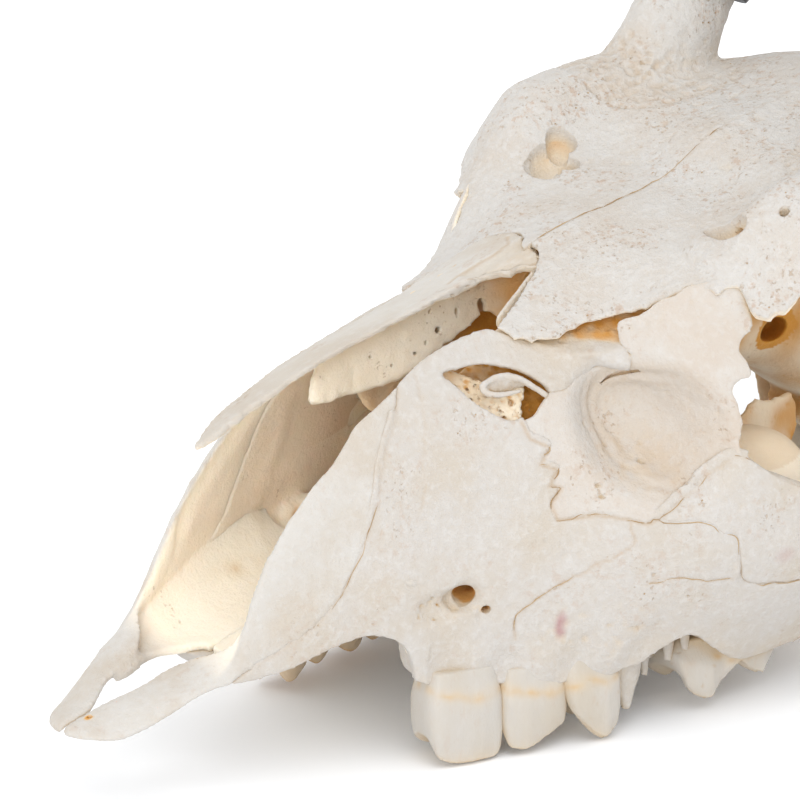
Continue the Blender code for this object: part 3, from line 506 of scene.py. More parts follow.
def bone_finish(name, ivory=BONE_IVORY, warm=BONE_WARM, pores=0.5, mottle=0.5, stretch=(1, 1, 1),
                relief=0.0003):
    """Dry cleaned bone: ivory, drifting to warm and chalky, with pores, fine grain and stains.

    Hollows get painted shade, and inner faces a lighter painted colour.
    """
    made = bpy.data.materials.new(name)
    made.use_nodes = True
    nodes = made.node_tree.nodes
    links = made.node_tree.links
    shader = nodes["Principled BSDF"]
    shader.inputs["Specular IOR Level"].default_value = 0.3
    shader.inputs["Subsurface Radius"].default_value = BONE_GLOW

    def node(kind, **sockets):
        n = nodes.new(kind)
        for key, value in sockets.items():
            n.inputs[key].default_value = value
        return n

    def mixed(share, a, b):
        n = nodes.new("ShaderNodeMix")
        n.data_type = "RGBA"
        n.clamp_factor = True
        links.new(share, n.inputs["Factor"])
        for value, socket in ((a, n.inputs[6]), (b, n.inputs[7])):
            if isinstance(value, tuple):
                socket.default_value = (*value, 1)
            else:
                links.new(value, socket)
        return n.outputs[2]

    def between(value, low, high, to_low=0.0, to_high=1.0):
        n = nodes.new("ShaderNodeMapRange")
        n.interpolation_type = "SMOOTHSTEP"
        n.inputs["From Min"].default_value = low
        n.inputs["From Max"].default_value = high
        n.inputs["To Min"].default_value = to_low
        n.inputs["To Max"].default_value = to_high
        links.new(value, n.inputs["Value"])
        return n.outputs["Result"]

    def maths(kind, a, b):
        n = nodes.new("ShaderNodeMath")
        n.operation = kind
        for value, socket in ((a, n.inputs[0]), (b, n.inputs[1])):
            if isinstance(value, (int, float)):
                socket.default_value = value
            else:
                links.new(value, socket)
        return n.outputs[0]

    where = nodes.new("ShaderNodeTexCoord").outputs["Object"]
    in_mm = nodes.new("ShaderNodeMapping")
    in_mm.inputs["Scale"].default_value = tuple(1000 * s for s in stretch)
    links.new(where, in_mm.inputs["Vector"])
    v = in_mm.outputs["Vector"]

    drift = node("ShaderNodeTexNoise", Scale=0.11, Detail=3.0, Roughness=0.55)
    fine = node("ShaderNodeTexNoise", Scale=1.3, Detail=5.0, Roughness=0.65)
    grit = node("ShaderNodeTexNoise", Scale=4.0, Detail=2.0, Roughness=0.6)
    patch = node("ShaderNodeTexNoise", Scale=0.16, Detail=3.0, Roughness=0.6)
    pit = node("ShaderNodeTexNoise", Scale=2.1, Detail=1.5, Roughness=0.5)
    rust = node("ShaderNodeTexNoise", Scale=1.1, Detail=4.0, Roughness=0.7)
    speck = node("ShaderNodeTexVoronoi", Scale=0.85, Randomness=1.0)
    for n in (drift, fine, grit, patch, pit, rust, speck):
        links.new(v, n.inputs["Vector"])
    marks = nodes.new("ShaderNodeVertexColor")
    marks.layer_name = "marks"
    split = nodes.new("ShaderNodeSeparateColor")
    links.new(marks.outputs["Color"], split.inputs["Color"])
    ochre, line, purple = split.outputs
    inner = marks.outputs["Alpha"]
    outer = maths("SUBTRACT", 1.0, inner)
    hollow = nodes.new("ShaderNodeAmbientOcclusion")
    hollow.samples = 3
    hollow.inputs["Distance"].default_value = 0.004

    colour = mixed(between(drift.outputs["Fac"], 0.38, 0.66), ivory, warm)
    colour = mixed(between(fine.outputs["Fac"], 0.45, 0.70, 0.0, mottle), colour, BONE_PALE)
    colour = mixed(between(fine.outputs["Fac"], 0.47, 0.30, 0.0, mottle * 0.9), colour, warm)
    rusty = maths("MULTIPLY", between(rust.outputs["Fac"], 0.52, 0.64),
                  between(patch.outputs["Fac"], 0.45, 0.60))
    colour = mixed(maths("MULTIPLY", rusty, 0.2 + 0.6 * pores), colour, RUST)
    # Painted light: the inner share is coloured lighter and warmer.
    colour = mixed(inner, colour, BONE_INNER_PAINTED_LIGHT)
    few = between(patch.outputs["Fac"], 0.62 - 0.22 * pores, 0.74 - 0.22 * pores)
    pits = maths("MULTIPLY", between(pit.outputs["Fac"], 0.63, 0.70), few)
    dots = maths("MULTIPLY", between(speck.outputs["Distance"], 0.11, 0.05), few)
    # Painted shade, with some of the staining that gathers in hollows: where the ambient occlusion
    # node finds a hollow, outer faces are mixed towards tan.
    shade = between(hollow.outputs["AO"], 0.70, 0.20, 0.0, 0.65)
    colour = mixed(maths("MULTIPLY", shade, outer), colour, BONE_TAN)
    # The ochre share holds real stains and also painted shade in recesses and on undersides.
    colour = mixed(ochre, colour, BONE_TAN)
    colour = mixed(between(ochre, 0.35, 1.0), colour, SHADE_AND_STAIN_OCHRE)
    colour = mixed(maths("MULTIPLY", pits, 0.55), colour, SPECK_BROWN)
    colour = mixed(maths("MULTIPLY", dots, 0.85), colour, SEAM_BROWN)
    colour = mixed(maths("MULTIPLY", line, 0.8), colour, SEAM_BROWN)
    colour = mixed(purple, colour, BLOOD_PURPLE)
    links.new(colour, shader.inputs["Base Color"])
    links.new(between(inner, 0.0, 1.0, OUTER_GLOW, INNER_GLOW), shader.inputs["Subsurface Weight"])
    links.new(between(inner, 0.0, 1.0, OUTER_REACH, INNER_REACH), shader.inputs["Subsurface Scale"])

    height = maths("ADD", fine.outputs["Fac"], maths("MULTIPLY", grit.outputs["Fac"], 0.35))
    height = maths("SUBTRACT", height, maths("MULTIPLY", pits, 0.55))
    height = maths("SUBTRACT", height, maths("MULTIPLY", dots, 0.8))
    height = maths("SUBTRACT", height, maths("MULTIPLY", line, 0.5))
    bump = node("ShaderNodeBump", Strength=0.6, Distance=relief)
    links.new(height, bump.inputs["Height"])
    links.new(bump.outputs["Normal"], shader.inputs["Normal"])
    links.new(between(fine.outputs["Fac"], 0.3, 0.7, 0.55, 0.75), shader.inputs["Roughness"])
    return made


def settled(obj, material, slot, *nodes):
    """Scales a finished piece to metres inside the solids' box, and lets it stand for its nodes."""
    mesh = obj.data
    co = rows_of(mesh.vertices, "co")
    co[:, 1] -= MIDDLE_D
    co = np.clip(co * MM, np.array(cad_low), np.array(cad_high)).astype(np.float32)
    mesh.vertices.foreach_set("co", co.ravel())
    mesh.materials.clear()
    mesh.materials.append(material)
    mesh.polygons.foreach_set("use_smooth", np.ones(len(mesh.polygons), bool))
    mesh.update()
    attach(obj, "root")
    if nodes:
        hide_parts(*nodes)
    return obj


def thinned(line, full, thin=EDGE_THIN, reach=2.6):
    """The thickness of a plate that thins towards this edge."""
    return lambda a, b: full - (full - thin) * line_mask(a, b, line, reach)


def seam_bed(line, side, form=side_form, deep=0.55, half=(0.42, 0.9)):
    """A ledge of bone behind a seam, so that it shows as a fine line and not as an open gap."""
    path = [(float(form(a, b)) - deep, a, b) for a, b in rounded(line, 1.2)]
    return bar_of_bone(path, (half,) * len(path), side, 12, 2)


def bar_of_bone(path, halves, side=1, across=20, steps=5, power=2.0):
    """A bar of oval section along a path, with its (sideways, upright) halves at each corner."""
    path = np.array(path, float)
    halves = np.array([h if isinstance(h, tuple) else (h, h) for h in halves], float)
    at = np.arange(len(path))
    fine = np.linspace(0, len(path) - 1, (len(path) - 1) * steps + 1)
    if len(path) > 2:
        centres = steady(at, path, fine)
    else:
        centres = path[0] + (path[1] - path[0]) * fine[:, None]
    wide = np.stack([np.interp(fine, at, halves[:, 0]), np.interp(fine, at, halves[:, 1])], 1)
    along = np.gradient(centres, axis=0)
    c, s = squared(across, 2 / power)
    rings = []
    for p, w, a in zip(centres, wide, along):
        a = a / np.linalg.norm(a)
        flat = np.cross(a, (0, 0, 1.0))
        flat = np.array([1.0, 0, 0]) if np.linalg.norm(flat) < 0.2 else flat / np.linalg.norm(flat)
        rise = np.cross(flat, a)
        ring = p + np.outer(c * w[0], flat) + np.outer(s * w[1], rise)
        ring[:, 0] *= side
        rings.append(ring)
    return skin_over(rings)


def palate_form(d, x):
    """Height of the floor of the nose: arched in the middle, ramped up to the walls."""
    share = faded((d - 17.0) / 17.0)
    ramp = FLOOR_RAMP * faded((d - 11.0) / 4.0) * faded((46.0 - d) / 8.0)
    return (read_off(PALATE_MIDDLE, d)
            + PALATE_ARCH * share * (1 - np.minimum(np.abs(x) / 11.0, 1) ** 2)
            + ramp * np.clip(np.abs(x) - 3.2, 0, 7) ** 2)


def floor_edge(d):
    """How far out the floor of the nose reaches, to just inside the face."""
    x = 9.0
    for _ in range(FLOOR_EDGE_TRIES):
        x = 0.5 * (x + float(side_form(d, palate_form(d, x))) - FLOOR_IN_WALL)
    return x


floor_walls = np.array([(d, floor_edge(d)) for d in FLOOR_STOPS[::-1]]).T


def floor_form(d, x):
    """Height of the floor, turned up in a round hollow where it meets the wall."""
    climb = (np.abs(x) - np.interp(d, *floor_walls)) / FLOOR_ROUND + 1
    return palate_form(d, x) + FLOOR_ROUND * (1 - np.sqrt(1 - np.clip(climb, 0, 0.94) ** 2))


def blade_of_bone(side):
    """The blade of one premaxilla, lofted through its stations from the tip into the wall."""
    stations = sorted(BLADE)
    table = np.array([BLADE[d] for d in stations]).reshape(len(stations), 6)
    t = np.linspace(0, 1, 19)[:, None]
    rings = []
    for d in np.arange(stations[0], stations[-1] + 0.01, 0.4):
        low, middle, top = steady(stations, table, d).reshape(3, 2)
        if side < 0:
            back_by = read_off(FAR_SLOT_BACK, d)
            low, middle, top = (low * (1.05, 1), middle + (back_by / 2, 0), top + (back_by, 0.2))
        face = low * (1 - t) * (1 - 2 * t) + middle * 4 * t * (1 - t) + top * t * (2 * t - 1)
        wall = faded((d - 12.0) / 3.0)
        face[:, 0] += wall * (side_form(d, face[:, 1]) - face[:, 0])
        along = np.gradient(face, axis=0)
        along /= np.linalg.norm(along, axis=1)[:, None]
        normal = np.stack([along[:, 1], -along[:, 0]], 1)
        thick = WALL_THICK * np.interp(d, (stations[0], 1.0), (0.6, 1.0))
        thick = thick * (0.5 + 0.5 * faded(np.sin(np.pi * t)))
        back = face - normal * thick
        ring = np.vstack([face, back[::-1]])
        rings.append(np.stack([side * ring[:, 0], np.full(len(ring), d), ring[:, 1]], 1))
    return skin_over(rings)


def inner_relief(points, within):
    """The low ridges inside the nose and its orange patches: height and stain."""
    d, z = points[:, 1], points[:, 2]
    ridge = sum(line_mask(d, z, rounded(line), 1.8) for line in INNER_RIDGES)
    stain = sum(dent(d, z, (a, b), (c, e), 0.34, 0.0) for a, b, c, e in INNER_PATCHES)
    stain = stain * np.clip(0.7 + uneven(points, 1.6, 17), 0.2, 1.4)
    return 0.14 * ridge * within, (stain + 0.12 * ridge) * within


def snout_marks(points, normals):
    """Warm stains on the inner face, which also gets the lighter painted inner colour, and a brown
    pin hole on the blade.
    """
    x, d, z = points.T
    x = np.abs(x)
    within = faded((side_form(d, z) - x - 0.45) / 0.3) * faded((d - 11.0) / 4.0)
    rise, stain = inner_relief(points, within)
    ochre = 0.06 * within * (1 + uneven(points, 5, 11)) + stain
    hole = dent(d, points[:, 0], (1.0, 1.05), (0.55, 0.55), 1.0, 0.5) * (z > 7.5)
    seam = line_mask(d, z, SNOUT_SEAM, 0.25) * (1 - within)
    # The inner face's share gets the lighter painted inner colour.
    return ochre + hole, 0.15 * seam, 0 * x, within, rise


snout_bone = bone_finish("snout_bone", ivory=(0.535, 0.51, 0.475), pores=0.12, mottle=0.35)
for side, tag in BOTH_SIDES:
    rim = NOSE_EDGE
    if side < 0:
        rim = [(d, z - float(read_off(FAR_EDGE_DROP, d))) for d, z in NOSE_EDGE]
    wall = sheet_of_bone(closed_line(rounded(rim), ragged(SNOUT_SEAM, *SNOUT_STEPS), WALL_FOOT),
                         side_form, thinned(rim, WALL_THICK), True, side)
    edge = [(d, x + (0 if d > 17 else NEAR_SLOT_BACK if side > 0 else
                     float(read_off(FAR_SLOT_BACK, d)))) for d, x in SLOT_FLOOR]
    edge += [(d, floor_edge(d)) for d in FLOOR_STOPS] + list(FLOOR_FRONT)
    floor = sheet_of_bone(ring_of(edge), floor_form, FLOOR_THICK, False, side)
    piece = grown("premaxilla_%s_bone" % tag, [wall, blade_of_bone(side), floor], GRAIN_OF_MESH, 4)
    if side > 0:
        bored(piece, [bar_of_bone(BLADE_HOLE, (BLADE_HOLE_BORE, BLADE_HOLE_BORE), 1, 12)])
    weathered(piece, 0.06, snout_marks)
    settled(piece, snout_bone, "bone", "premaxilla_" + tag)


# Maxillae.
# The upper jaw bones: the side wall of the nose, the swollen bone round the tooth roots and half of
# the hard palate, grown together. Thin bone, open at its nerve and where a tooth has fallen out.

GAP_EDGE = ((31.8, 9.2), (31.4, 11.2), (30.2, 13.3), (28.0, 14.5), (25.9, 14.7), (21.9, 13.9),
            (18.6, 12.9), (14.2, 12.3), (12.4, 12.2))
NOSE_WALL_TOP = ((34.0, 37.5), (35.2, 38.1), (37.6, 39.0), (40.1, 39.7), (43.0, 40.4), (45.6, 40.7),
                 (47.4, 39.9), (50.0, 39.0), (52.6, 38.4), (56.8, 37.6))
TEAR_TOP_SEAM = ((56.8, 37.6), (53.6, 36.5), (50.4, 35.6), (48.3, 35.3))
FACE_GAP = ((48.3, 35.3), (47.9, 36.1), (46.4, 37.3), (44.8, 37.9), (43.0, 38.3), (40.9, 38.2),
            (38.7, 38.0), (39.5, 36.9), (40.4, 35.5), (42.0, 34.2), (43.2, 33.5), (44.3, 33.2))
TEAR_SEAM = ((44.3, 33.2), (44.7, 31.6), (46.3, 30.7), (45.1, 29.2), (46.6, 28.6), (45.5, 27.2),
             (46.7, 26.9), (45.4, 25.4), (45.8, 23.9), (47.5, 23.9), (49.2, 24.1), (51.7, 23.6),
             (53.3, 23.0), (54.4, 23.4))
CHEEK_SEAM = ((54.4, 23.4), (56.0, 22.8), (58.9, 22.5), (59.9, 21.5), (61.6, 20.7), (62.2, 17.8),
              (62.6, 16.0), (64.1, 15.1), (70.0, 14.4), (76.0, 14.1), (80.0, 13.0))
CHEEK_HIND = ((80.0, 13.0), (82.4, 9.6), (80.6, 6.6), (76.0, 6.0))
TOOTH_LINE = ((76.0, 6.0), (73.4, 5.4), (70.6, 5.2), (68.0, 4.9), (65.4, 5.6), (62.6, 7.6),
              (59.4, 9.8), (56.4, 8.8), (54.6, 7.2), (53.0, 7.2), (51.2, 6.6), (49.4, 7.3),
              (48.2, 7.0), (44.9, 6.4), (41.6, 7.3), (40.2, 7.4), (37.4, 7.3), (34.4, 8.0),
              (31.8, 9.2))
TEAR_TOP_STEPS = (0.08, 9, 0.55)
TEAR_STEPS = (0.20, 12, 0.4)
CHEEK_STEPS = (0.12, 13, 0.55)
OLD_STEPS = (0.14, 5, 0.55)
CRACK_STEPS = (0.1, 6, 0.55)
OLD_SEAM = ((52.0, 23.2), (52.1, 21.6), (51.2, 20.4), (49.3, 19.5), (46.1, 17.5), (44.3, 16.7),
            (41.7, 14.6), (41.6, 12.1))
CHEEK_CRACK = ((53.2, 16.7), (55.5, 17.1), (58.6, 16.6), (61.7, 16.2))
SNOUT_CRACK = ((32.5, 26.5), (34.0, 31.0), (35.2, 35.0), (36.0, 38.0))
TOOTH_ROW = ((31.0, 10.9), (37.0, 12.1), (44.0, 13.6), (51.0, 14.8), (60.0, 15.3), (72.0, 14.8),
             (82.0, 14.0))
JAW_FROM = 33.4
JAW_TO = 79.5
JAW_TALL = 6.8
ROOT_AROUND = 28
ROOT_SQUARE = 0.7
PALATE = ((15.4, 0.0), (15.6, 5.4), (18.0, 7.2), (24.0, 8.6), (29.0, 9.8), (33.0, 10.4),
          (37.0, 10.4), (48.0, 11.4), (60.0, 12.2), (70.0, 12.0), (77.0, 11.0), (74.0, 6.0),
          (70.0, 0.0))
PALATE_TONGUE = (35.2, 0.85)
FACE_THICK = 1.25
SWELLING = (15.5, 70.5, 19.5)
SWELLING_HALF = (5.4, 8.2, 7.7)
NERVE_CANAL = ((14.7, 35.6, 16.8), (13.2, 37.2, 17.3), (11.8, 38.6, 17.7), (11.0, 42.5, 17.9),
               (10.8, 47.0, 18.2))
NERVE_CANAL_BORE = (0.7, 1.0, 1.15, 1.05, 1.0, 0.8)
SMALL_HOLE = ((15.6, 38.3, 15.5), (13.4, 39.4, 15.9))
DISH_PITS = ((32.3, 16.9, 0.32), (31.9, 15.9, 0.24), (33.6, 15.4, 0.12), (34.2, 16.6, 0.13),
             (33.4, 17.6, 0.12))
# The shell, where the wall of the nose folds in under the forehead, as (D, X).
SHELL = ((44.8, 6.4), (48.0, 5.8), (53.0, 6.8), (57.0, 8.6), (59.4, 11.6), (60.2, 13.4),
         (59.0, 14.6), (57.6, 14.9), (56.2, 14.5), (54.6, 13.6), (52.6, 12.4), (50.3, 11.0),
         (48.0, 9.4), (46.0, 7.6))
SHELL_UNDER = 1.3
# Where shade from the forehead is painted on the shell, which is pitted there too.
UNDER_BROW = ((47.0, 7.6), (50.4, 9.4), (54.6, 10.0), (58.2, 12.6), (61.6, 15.4))
SHELL_SINK = 1.0
EMPTY_SOCKET = ((14.9, 56.2, 6.6), (14.9, 59.6, 8.4))
EMPTY_SOCKET_HALF = ((2.9, 1.35, 4.4), (3.2, 1.7, 3.6))
# Roof of the skull: at each D, the height Z at these distances X from the midline.
ROOF_ACROSS = (0.0, 6.5, 13.0, 18.5, 22.5, 27.0)
ROOF = {
    14.0: (33.2, 31.0, 27.0, 23.0, 20.0, 16.0),
    22.0: (36.4, 34.6, 31.0, 28.0, 25.0, 22.0),
    30.0: (39.2, 37.5, 34.0, 31.0, 28.0, 25.0),
    38.0: (41.0, 39.2, 35.5, 32.0, 29.0, 26.0),
    46.0: (42.8, 41.0, 37.5, 34.0, 31.0, 28.0),
    52.0: (44.4, 42.6, 39.4, 37.4, 35.0, 32.0),
    57.0: (45.7, 44.2, 41.6, 40.4, 38.6, 35.0),
    62.0: (46.8, 46.0, 44.8, 44.0, 41.0, 37.0),
    65.0: (47.2, 46.6, 46.4, 46.4, 43.2, 38.6),
    69.0: (47.8, 47.6, 48.0, 51.0, 49.4, 43.4),
    73.0: (48.6, 48.4, 49.4, 53.2, 52.6, 47.0),
    80.0: (52.2, 51.4, 51.8, 54.0, 53.2, 49.0),
    88.0: (53.8, 53.0, 52.8, 53.2, 51.8, 48.4),
    96.0: (55.6, 54.8, 53.2, 50.8, 48.2, 43.8),
    104.0: (55.2, 54.2, 51.6, 47.8, 44.6, 40.0),
}
HORN_D = 86.2
HORN_X = 18.2
HORN_FOOT = 11.5
HORN_FOOT_RISE = 1.6


def roof_table():
    """Heights of the roof in even steps of D and X."""
    stations = sorted(ROOF)
    across = np.arange(0, 32, LOOKUP_STEP)
    heights = steady(stations, np.array([ROOF[d] for d in stations]),
                     np.arange(12, 108, LOOKUP_STEP))
    return np.array([steady(ROOF_ACROSS, row, across) for row in heights])


plain_roof = lookup(roof_table(), (12, 0), LOOKUP_STEP)


def roof_form(d, x):
    """Height of the skull's roof, with the rise towards the foot of the horn."""
    away = np.hypot(d - HORN_D, np.abs(x) - HORN_X) / HORN_FOOT
    return plain_roof(d, np.abs(x)) + HORN_FOOT_RISE * faded(1 - away) ** 2


def oval(centre, half, across=36, levels=22):
    """A closed egg of the given half sizes."""
    rings = []
    turn = np.linspace(0, 2 * np.pi, across, endpoint=False)
    for k in range(1, levels):
        low = math.pi * k / levels
        r = math.sin(low)
        rings.append(np.stack([centre[0] + half[0] * r * np.cos(turn),
                               centre[1] + half[1] * r * np.sin(turn),
                               np.full(across, centre[2] - half[2] * math.cos(low))], 1))
    return skin_over(rings)


def across_row(d):
    """How far the tooth row stands from the midline."""
    return read_off(TOOTH_ROW, d)


def gum_z(d):
    """Height of the jaw's edge above the teeth."""
    line = np.array(TOOTH_LINE)[::-1]
    return np.interp(d, line[:, 0], line[:, 1])


def root_bone(side):
    """The swollen bone along the tooth row, from the palate out to the wall of the face."""
    c, s = squared(ROOT_AROUND, ROOT_SQUARE)
    rings = []
    for d in np.arange(JAW_FROM, JAW_TO, 1.0):
        low = gum_z(d) + 0.2
        z = low + JAW_TALL * (0.5 + 0.5 * s)
        inner = across_row(d) - np.interp(d, (36, 50), (3.7, 4.5))
        outer = side_form(d, z) - 0.6
        rings.append(np.stack([side * ((inner + outer) / 2 + c * (outer - inner) / 2),
                               np.full(ROOT_AROUND, d), z], 1))
    return skin_over(rings)


def palate_sheet_form(d, x):
    """The palate, with its front edge tucked under the premaxillae as a tongue."""
    end, step = PALATE_TONGUE
    return palate_form(d, x) - step * faded((end - d) / 0.6)


def shell_form(d, x):
    """The broken shell, sinking away under the forehead as it goes back."""
    return plain_roof(d, np.abs(x)) - SHELL_UNDER - SHELL_SINK * faded((d - 49.0) / 7.0)


def jaw_thick(d, z):
    """Thin along the broken edges of the nose and of the gap in the face."""
    thin = np.maximum(line_mask(d, z, NOSE_WALL_TOP[:6], 2.4), line_mask(d, z, FACE_GAP, 1.3))
    return FACE_THICK - (FACE_THICK - EDGE_THIN) * thin


def jaw_marks(points, normals):
    """Seams, cracks, stains round the tooth roots and inside the nose, and painted shade.

    Painted shade lies in the nerve canal, deep in the nose and under the forehead; the inner face
    gets the lighter painted colour.
    """
    x, d, z = points.T
    x = np.abs(x)
    outside = faded((x - side_form(d, z) + 0.5) / 0.3) * (z > 4)
    seams = 0.75 * line_mask(d, z, TEAR_SEAM, 0.30)
    seams = np.maximum(seams, 0.25 * line_mask(d, z, SNOUT_SEAM, 0.3))
    seams = np.maximum(seams, 0.55 * line_mask(d, z, ragged(OLD_SEAM, *OLD_STEPS), 0.26))
    seams = np.maximum(seams, 0.55 * line_mask(d, z, ragged(CHEEK_CRACK, *CRACK_STEPS), 0.2))
    seams = np.maximum(seams, 0.25 * line_mask(d, z, ragged(SNOUT_CRACK, 0.15, 8), 0.25))
    seams = seams * outside
    roots = faded(1 - (z - gum_z(d)) / 2.0) * (d > 32) * (0.25 + 0.5 * uneven(points, 1.3, 31))
    # Painted shade: the nerve hole's gutter and canal are coloured ochre, darker deeper in the
    # canal.
    gutter = (dent(d, z, (37.0, 17.4), (1.5, 1.0), 0.5, 0.2)
              + dent(d, z, (38.5, 15.7), (0.6, 0.5), 0.8, 0.2))
    canal = (dent(d, z, (38.0, 17.4), (3.6, 2.0), 1.0, 0.6)
             + dent(d, z, (39.0, 15.7), (1.4, 1.0), 1.0, 0.6))
    canal = canal * faded((side_form(d, z) - x - 0.15) / 0.7) * (x > 8) * (x < 15.6)
    # The nerve hole's dish takes a little painted shade.
    dish = dent(d, z, (34.6, 16.5), (3.2, 1.7), 1.0, 0.5)
    pits = sum(dent(d, z, (a, b), (r, r), 1.0, 0.5) for a, b, r in DISH_PITS)
    specks = faded(uneven(points, 0.45, 43) * 2.4 - 1.0) * dish
    pores = (dent(d, z, (50.0, 12.0), (9.0, 4.0), 1.0, 0.1)
             * faded(uneven(points, 0.7, 41) * 2 - 0.6))
    chewed = (dent(d, z, (46.0, 21.5), (5.0, 3.0), 1.0, 0.1)
              * faded(uneven(points, 0.5, 45) * 2.2 - 0.9))
    within = faded((side_form(d, z) - x - 0.6) / 0.4) * (z > 12.0)
    rise, stain = inner_relief(points, within)
    # Painted shade: ochre deep inside the nose, towards the back and up high.
    deep = within * faded((d - 37.0) / 7.0) * (z > 24)
    under_brow = line_mask(d, x, rounded(UNDER_BROW), 2.8)
    under_brow = under_brow * (z > 36) * faded(normals[:, 2] * 3)
    # Painted shade: ochre under the forehead's edge.
    shaded = (under_brow * np.clip((d - 44.0) / 12.0, 0.2, 1)
              * np.clip(0.75 + 0.8 * uneven(points, 0.8, 47), 0, 1.3))
    purple = 1.3 * dent(d, z, (45.9, 13.1), (0.85, 1.9), 1.0, 0.2) * outside
    purple = purple * faded(0.9 + 0.8 * uneven(points, 0.8, 51))
    juga = 0.35 * np.exp(-((z - gum_z(d) - 2.6) / 2.0) ** 2) * np.cos((d - 37.6) * 2 * np.pi / 6.8)
    height = (-0.05 * seams + juga * outside * (d > 33) * (d < 56) - 0.20 * (pores + chewed) + rise
              - 0.30 * pits * outside - 0.14 * specks * outside
              - 0.22 * under_brow * faded(uneven(points, 0.6, 49) * 2 - 0.7))
    ochre = (0.22 * faded(roots) + gutter * outside + 0.35 * pores + 0.08 * within + stain
             + 0.06 * dish * outside + 0.30 * specks * outside + 0.6 * pits * outside + 0.35 * deep
             + 0.42 * shaded + 0.75 * canal)
    # The inner face's share gets the lighter painted inner colour.
    within = within * (1 - faded((z - 36.0)) * (d > 44))
    return ochre, seams * 0.7, purple, within, height


jaw_bone = bone_finish("jaw_bone", pores=0.22, mottle=0.45)
for side, tag in BOTH_SIDES:
    edge = closed_line(ragged(SNOUT_SEAM, *SNOUT_STEPS)[::-1], rounded(NOSE_WALL_TOP, 0.8),
                       ragged(TEAR_TOP_SEAM, *TEAR_TOP_STEPS), rounded(FACE_GAP),
                       ragged(TEAR_SEAM, *TEAR_STEPS), ragged(CHEEK_SEAM, *CHEEK_STEPS),
                       rounded(CHEEK_HIND), rounded(TOOTH_LINE), rounded(GAP_EDGE))
    fold = [(float(side_form(d, z)) - 0.9, d, z - 0.7) for d, z in NOSE_WALL_TOP[6:]]
    skins = [sheet_of_bone(edge, side_form, jaw_thick, True, side),
             root_bone(side),
             sheet_of_bone(ring_of(PALATE, 1.2), palate_sheet_form, 1.3, False, side, 1.4),
             sheet_of_bone(ring_of(SHELL), shell_form, 0.9, False, side),
             bar_of_bone(fold, ((0.9, 0.8),) * len(fold), side),
             oval((SWELLING[0] * side, *SWELLING[1:]), SWELLING_HALF),
             bar_of_bone(NERVE_CANAL[1:], ((2.0, 1.9),) * 3 + ((1.5, 1.5),), side)]
    skins += [seam_bed(line, side) for line in (SNOUT_SEAM[1:-1], TEAR_SEAM, TEAR_TOP_SEAM[1:],
                                                CHEEK_SEAM[:-1])]
    piece = grown("maxilla_%s_bone" % tag, skins)
    holes = [bar_of_bone(((16.2, 34.2, 16.3),) + NERVE_CANAL, NERVE_CANAL_BORE, side),
             bar_of_bone(SMALL_HOLE, (0.5, 0.4), side)]
    if side > 0:
        holes += [oval(place, half) for place, half in zip(EMPTY_SOCKET, EMPTY_SOCKET_HALF)]
    bored(piece, holes)
    weathered(piece, BONE_LUMP, jaw_marks)
    settled(piece, jaw_bone, "bone", "maxilla_" + tag)


# Cheek teeth.
# Premolars and molars: enamel over dentine, ribbed on the cheek side and worn to crescents. Each is
# set by its roots in a socket of the upper jaw. Of the left first molar only root stumps are left.

# Name, centre D and X, half length, half width, lowest Z, rise of its hind half, turn in degrees,
# where its cusps stand along it, how far its edge rises between them, and how square its edge is.
CHEEK_TEETH = (
    ("premolar_2", 37.1, 12.3, 4.15, 3.1, 0.0, 0.0, -10, (0.12,), 0.9, 3.2),
    ("premolar_3", 44.3, 13.8, 3.7, 3.3, 0.3, 0.0, -9, (-0.35,), 1.3, 1.0),
    ("premolar_4", 50.3, 14.9, 3.3, 3.8, 0.0, 0.0, -6, (0.25,), 2.9, 1.25),
    ("molar_2", 67.2, 14.9, 6.8, 4.1, 0.6, 0.9, 3, (-0.52, 0.50), 2.2, 1.0),
)
BROKEN_PREMOLARS = (("premolar_2", 36.6, 12.2, 4.0, 2.7, 0.3, 0.6, -14, (-0.75, 0.30), 0.7, 1.0),
                    ("premolar_3", 44.4, 13.6, 3.7, 3.2, 0.9, 0.3, -9, (-0.5, 0.4), 0.8, 1.0))
FIRST_MOLAR = ("molar_1", 57.9, 15.2, 3.3, 3.9, 0.4, 0.0, 0, (-0.5, 0.48), 1.8, 1.2)
ENAMEL_GRAIN = 0.2
ROOT_IN = 2.4
ENAMEL_GLOSS = 0.25
CROWN_AROUND = 72
CROWN_SQUARE = 0.5
# Down the crown: share of the way from root to edge, share of length and of width, lean outwards.
CROWN_DOWN = ((0.0, 0.84, 0.78, 0.0), (0.24, 0.93, 0.90, 0.0), (0.45, 1.0, 1.0, 0.02),
              (0.75, 1.01, 1.0, 0.05), (1.0, 0.97, 0.90, 0.10))
# The first molar's root stumps on the left: X, D, top, tip and half width of each.
STUMPS = ((16.9, 54.8, 9.0, 2.0, 1.7), (13.4, 56.4, 9.2, 4.6, 1.1), (15.6, 58.2, 10.2, 4.2, 0.8),
          (13.9, 60.2, 10.0, 5.0, 0.9), (16.6, 60.4, 10.4, 5.6, 0.8), (17.4, 61.9, 11.2, 6.6, 0.7))


